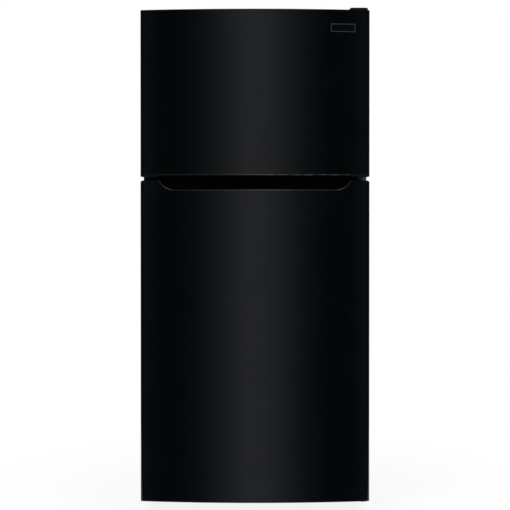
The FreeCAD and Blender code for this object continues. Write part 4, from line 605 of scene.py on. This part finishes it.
def roller_hubs():
    for side in ("left", "right"):
        low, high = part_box(f"rear_roller_{side}")
        center = (low + high) / 2
        shape = bmesh.new()
        for sign in (-1, 1):
            face = (high.x - low.x) / 2
            turned(shape, (center.x, center.y, center.z), (sign, 0, 0),
                   [(0.0150, face - 0.0008), (0.0150, face + 0.0006), (0.0135, face + 0.0012), (0.0085, face + 0.0012),
                    (0.0075, face + 0.0004), (0.0075, face - 0.0008)])
        piece(f"roller_{side}_hub", f"roller_{side}", "grey_plastic", shape, True)


def machine_room():
    """What shows through the slots of the rear cover: weld seam, tubes, drier, wires and fan shroud."""
    low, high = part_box("compressor")
    center = Vector((high.x - COMPRESSOR_REACH, (low.y + high.y) / 2, low.z))
    radius = COMPRESSOR_REACH - 0.014
    seam = bmesh.new()
    level = (high.z - low.z) * 0.42
    turned(seam, center, (0, 0, 1), [(radius - 0.001, level - 0.004), (radius + 0.0022, level - 0.003),
                                     (radius + 0.003, level), (radius + 0.0022, level + 0.003),
                                     (radius - 0.001, level + 0.004)], 64)
    piece("compressor_seam", "cabinet", "compressor_black", seam, True)
    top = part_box("rear_cover")[1].z - 0.03
    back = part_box("rear_cover")[0].y - 0.03
    start = center + Vector((radius - 0.006, 0.02, 0.105))
    pipe("suction_line", "cabinet", "condenser_black",
         [start, start + Vector((0.025, 0.004, 0)), (start.x + 0.03, back, start.z + 0.01),
          (start.x + 0.028, back, top), (start.x - 0.02, back, top + 0.012)], 0.0032)
    stub = center + Vector((0.02, radius - 0.006, 0.06))
    pipe("process_stub", "cabinet", "zinc_steel",
         [stub, stub + Vector((0, 0.014, 0)), stub + Vector((0.004, 0.018, 0.02)), stub + Vector((0.02, 0.018, 0.05))],
         0.0026)
    fan_low, fan_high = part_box("condenser_fan_blade")
    fan = (fan_low + fan_high) / 2
    drier = bmesh.new()
    spot = Vector((fan.x + 0.075, back - 0.012, center.z + 0.045))
    turned(drier, spot, (0, 0, 1), [(0.002, -0.008), (0.003, 0), (0.0085, 0.008), (0.0095, 0.014), (0.0095, 0.07),
                                    (0.0085, 0.076), (0.003, 0.086), (0.002, 0.098)])
    piece("filter_drier", "cabinet", "zinc_steel", drier, True)
    pipe("capillary", "cabinet", "zinc_steel",
         [spot + Vector((0, 0, 0.097)), spot + Vector((0, 0, 0.115)), spot + Vector((0.03, 0, 0.12)),
          spot + Vector((0.06, 0.004, 0.1)), spot + Vector((0.09, 0.004, 0.118)), spot + Vector((0.10, 0, 0.14))], 0.0012)
    relay = Vector((low.x + 0.004, center.y - 0.012, center.z + 0.1))
    motor = Vector((fan.x + 0.05, center.y, fan.z - 0.02))
    for i in range(3):
        lift = Vector((0, (i - 1) * 0.004, 0))
        pipe(f"fan_wire_{i}", "cabinet", "black_trim",
             [relay + lift, relay + lift + Vector((-0.01, 0, 0.02)), (relay + motor) / 2 + lift + Vector((0, -0.02, -0.01)),
              motor + lift + Vector((0.016, -0.02, -0.006)), motor + lift + Vector((0.004, -0.008, 0.0))], 0.0011)
    shroud = bmesh.new()
    reach = (fan_high.z - fan_low.z) / 2 + 0.005
    outer = [(reach + 0.012, -0.004), (reach + 0.012, 0.016), (reach + 0.006, 0.0215), (reach, 0.0215), (reach, 0.016),
             (reach, -0.004), (reach + 0.012, -0.004)]
    turned(shroud, (fan_low.x, fan.y, fan.z), (1, 0, 0), outer, 64)
    for sign in (-1, 1):
        y = fan.y + sign * 0.05
        soft_bar(shroud, (fan_low.x, y - 0.008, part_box("drip_pan")[0].z + 0.0003), (fan_low.x + 0.012, y + 0.008, fan.z - 0.048),
                 0.0015)
    piece("fan_shroud", "cabinet", "grey_plastic", shroud)


DOOR_FLUTES = 8
COMPRESSOR_REACH = 0.082


def fine_detail():
    bin_rails()
    door_flutes()
    crisper_fronts()
    air_vents()
    evaporator_ribs()
    knob_mark()
    back_beads()
    screw_cross_painted_shade()
    leg_collars()
    roller_hubs()
    machine_room()


# ---------------------------------------------------------------- studio and camera

def studio_world():
    """A white backdrop behind the object and, for reflections, the dim room in front of it: one tall
    soft box straight ahead draws the broad highlight down the curved doors, and one hangs overhead."""
    world = bpy.data.worlds.new("studio")
    bpy.context.scene.world = world
    world.use_nodes = True
    tree = world.node_tree
    tree.nodes.clear()
    add, link = tree.nodes.new, tree.links.new

    split = add("ShaderNodeSeparateXYZ")
    link(add("ShaderNodeTexCoord").outputs["Generated"], split.inputs[0])
    ahead = maths(add, link, "MULTIPLY", split.outputs["Y"], -1.0)
    turn = maths(add, link, "ARCTAN2", split.outputs["X"], ahead)

    def round_share(offset):
        away = maths(add, link, "ABSOLUTE", maths(add, link, "SUBTRACT", turn, math.radians(offset)))
        return maths(add, link, "DIVIDE", away, math.pi)

    degrees = lambda levels: [(angle / 180, level) for angle, level in levels]
    room = ramp(add, link, round_share(0), degrees(ROOM_LEVELS))
    overhead = ramp(add, link, round_share(OVERHEAD_TURN), degrees(OVERHEAD_LEVELS))
    height = add("ShaderNodeMapRange")
    height.interpolation_type = "SMOOTHSTEP"
    link(maths(add, link, "ABSOLUTE", split.outputs["Z"]), height.inputs["Value"])
    height.inputs["From Min"].default_value, height.inputs["From Max"].default_value = ROOM_HEIGHT
    reflected = mixed(add, link, height.outputs["Result"], room, overhead)

    path = add("ShaderNodeLightPath")
    soft = mixed(add, link, path.outputs["Is Glossy Ray"], DIFFUSE_LEVEL, reflected)
    backdrop = maths(add, link, "MAXIMUM", path.outputs["Is Camera Ray"], path.outputs["Is Transmission Ray"])
    background = add("ShaderNodeBackground")
    link(mixed(add, link, backdrop, soft, 1.0), background.inputs["Color"])
    link(background.outputs[0], add("ShaderNodeOutputWorld").inputs["Surface"])


# degrees round from straight ahead of the doors, and how bright the room is there
ROOM_LEVELS = (
    (0.0, (0.435, 0.445, 0.47)), (3.0, (0.325, 0.337, 0.36)), (5.0, (0.222, 0.237, 0.25)), (7.0, (0.132, 0.148, 0.158)), (9.5, (0.055, 0.078, 0.090)),
    (12.0, (0.014, 0.035, 0.042)), (14.0, (0.002, 0.012, 0.014)),
    (17.0, 0.002), (19.0, (0.05, 0.085, 0.105)), (23.0, (0.05, 0.085, 0.105)), (26.0, 0.02), (60.0, 0.03),
    (95.0, 0.05), (125.0, 0.35), (150.0, 0.9), (180.0, 1.0),
)
OVERHEAD_TURN = 3.0
OVERHEAD_LEVELS = (
    (0.0, 2.6), (3.0, 2.2), (5.0, 1.25), (9.0, 0.70), (13.0, 0.40), (19.0, 0.20), (30.0, 0.10),
    (60.0, 0.25), (90.0, 0.50), (180.0, 0.9),
)
ROOM_HEIGHT = (0.29, 0.52)
DIFFUSE_LEVEL = 0.55


def lamp(name, place, target, width, height, power):
    light = bpy.data.lights.new(name, "AREA")
    light.shape = "RECTANGLE"
    light.size, light.size_y = width, height
    light.energy = power
    holder = bpy.data.objects.new(name, light)
    holder.location = place
    holder.rotation_euler = (Vector(target) - Vector(place)).to_track_quat("-Z", "Y").to_euler()
    bpy.context.collection.objects.link(holder)
    holder.visible_glossy = False
    return holder


def studio():
    studio_world()
    lamp("key", (-2.6, -3.0, 4.2), (0, 0, 0.8), 2.4, 2.0, 130)
    lamp("fill", (3.2, -2.2, 3.8), (0, 0, 0.8), 2.0, 2.0, 70)
    lamp("back", (0.6, 3.6, 3.6), (0, 0, 1.0), 2.4, 1.6, 70)

    low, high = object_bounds()
    half_x, front, back = high.x + 1.3, low.y - FLOOR_FRONT, high.y + 1.3
    mesh = bpy.data.meshes.new("floor")
    shape = bmesh.new()
    corners = [(-half_x, front), (half_x, front), (half_x, back), (-half_x, back)]
    shape.faces.new([shape.verts.new((x, y, low.z - 0.0005)) for x, y in corners])
    shape.to_mesh(mesh)
    shape.free()
    floor = bpy.data.objects.new("floor", mesh)
    bpy.context.collection.objects.link(floor)
    floor.data.materials.append(floor_material((low.x, high.x), (low.y, high.y)))
    floor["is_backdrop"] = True


def floor_material(x_span, y_span):
    """Pale floor that keeps the object's shadow and turns into the backdrop towards its rim."""
    material = bpy.data.materials.new("floor")
    material.use_nodes = True
    tree = material.node_tree
    tree.nodes.clear()
    pale = tree.nodes.new("ShaderNodeBsdfDiffuse")
    pale.inputs["Color"].default_value = (0.86, 0.86, 0.86, 1)
    white = tree.nodes.new("ShaderNodeEmission")
    white.inputs["Color"].default_value = (1, 1, 1, 1)
    path = tree.nodes.new("ShaderNodeLightPath")
    seen = tree.nodes.new("ShaderNodeMath")
    seen.operation = "MAXIMUM"
    tree.links.new(path.outputs["Is Camera Ray"], seen.inputs[0])
    tree.links.new(path.outputs["Is Transmission Ray"], seen.inputs[1])

    coords = tree.nodes.new("ShaderNodeTexCoord")
    reach = tree.nodes.new("ShaderNodeMapping")
    reach.inputs["Location"].default_value = (0, -(y_span[0] + y_span[1]) / 2, 0)
    tree.links.new(coords.outputs["Object"], reach.inputs["Vector"])
    length = tree.nodes.new("ShaderNodeVectorMath")
    length.operation = "LENGTH"
    tree.links.new(reach.outputs["Vector"], length.inputs[0])
    fade = tree.nodes.new("ShaderNodeMapRange")
    fade.interpolation_type = "SMOOTHSTEP"
    tree.links.new(length.outputs["Value"], fade.inputs["Value"])
    for key, number in (("From Min", 0.45), ("From Max", 1.3), ("To Min", 0.88), ("To Max", 1.0)):
        fade.inputs[key].default_value = number
    split = tree.nodes.new("ShaderNodeSeparateXYZ")
    tree.links.new(coords.outputs["Object"], split.inputs[0])
    rim = tree.nodes.new("ShaderNodeMapRange")
    tree.links.new(split.outputs["Y"], rim.inputs["Value"])
    for key, number in (("From Min", y_span[0] - FLOOR_FRONT), ("From Max", y_span[0]), ("To Min", 1.0), ("To Max", 0.0)):
        rim.inputs[key].default_value = number
    whiter = tree.nodes.new("ShaderNodeMath")
    whiter.operation = "MAXIMUM"
    tree.links.new(fade.outputs["Result"], whiter.inputs[0])
    tree.links.new(rim.outputs["Result"], whiter.inputs[1])
    share = tree.nodes.new("ShaderNodeMath")
    share.operation = "MULTIPLY"
    tree.links.new(seen.outputs[0], share.inputs[0])
    tree.links.new(whiter.outputs[0], share.inputs[1])
    mix = tree.nodes.new("ShaderNodeMixShader")
    tree.links.new(share.outputs[0], mix.inputs["Fac"])
    tree.links.new(pale.outputs[0], mix.inputs[1])
    tree.links.new(white.outputs[0], mix.inputs[2])
    tree.links.new(mix.outputs[0], tree.nodes.new("ShaderNodeOutputMaterial").inputs["Surface"])
    return material


FLOOR_FRONT = 0.11
CAMERA_DISTANCE = 3.6
CAMERA_HEIGHT = 0.972
CAMERA_PITCH = 0.5
CAMERA_SHIFT = -0.0491
FOCAL = 76.52


def camera():
    """Straight on, from a few metres away, as in the photograph."""
    low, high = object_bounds()
    data = bpy.data.cameras.new("camera")
    data.lens, data.sensor_width = FOCAL, 36.0
    data.shift_y = CAMERA_SHIFT
    holder = bpy.data.objects.new("camera", data)
    holder.location = (0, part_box("fresh_food_door_skin")[0].y + DOOR_BOW - CAMERA_DISTANCE, CAMERA_HEIGHT)
    holder.rotation_euler = (math.radians(90 - CAMERA_PITCH), 0, 0)
    bpy.context.collection.objects.link(holder)
    bpy.context.scene.camera = holder


dress_cad_nodes()
fine_detail()
studio()
camera()
bpy.context.scene.view_settings.view_transform = "Standard"
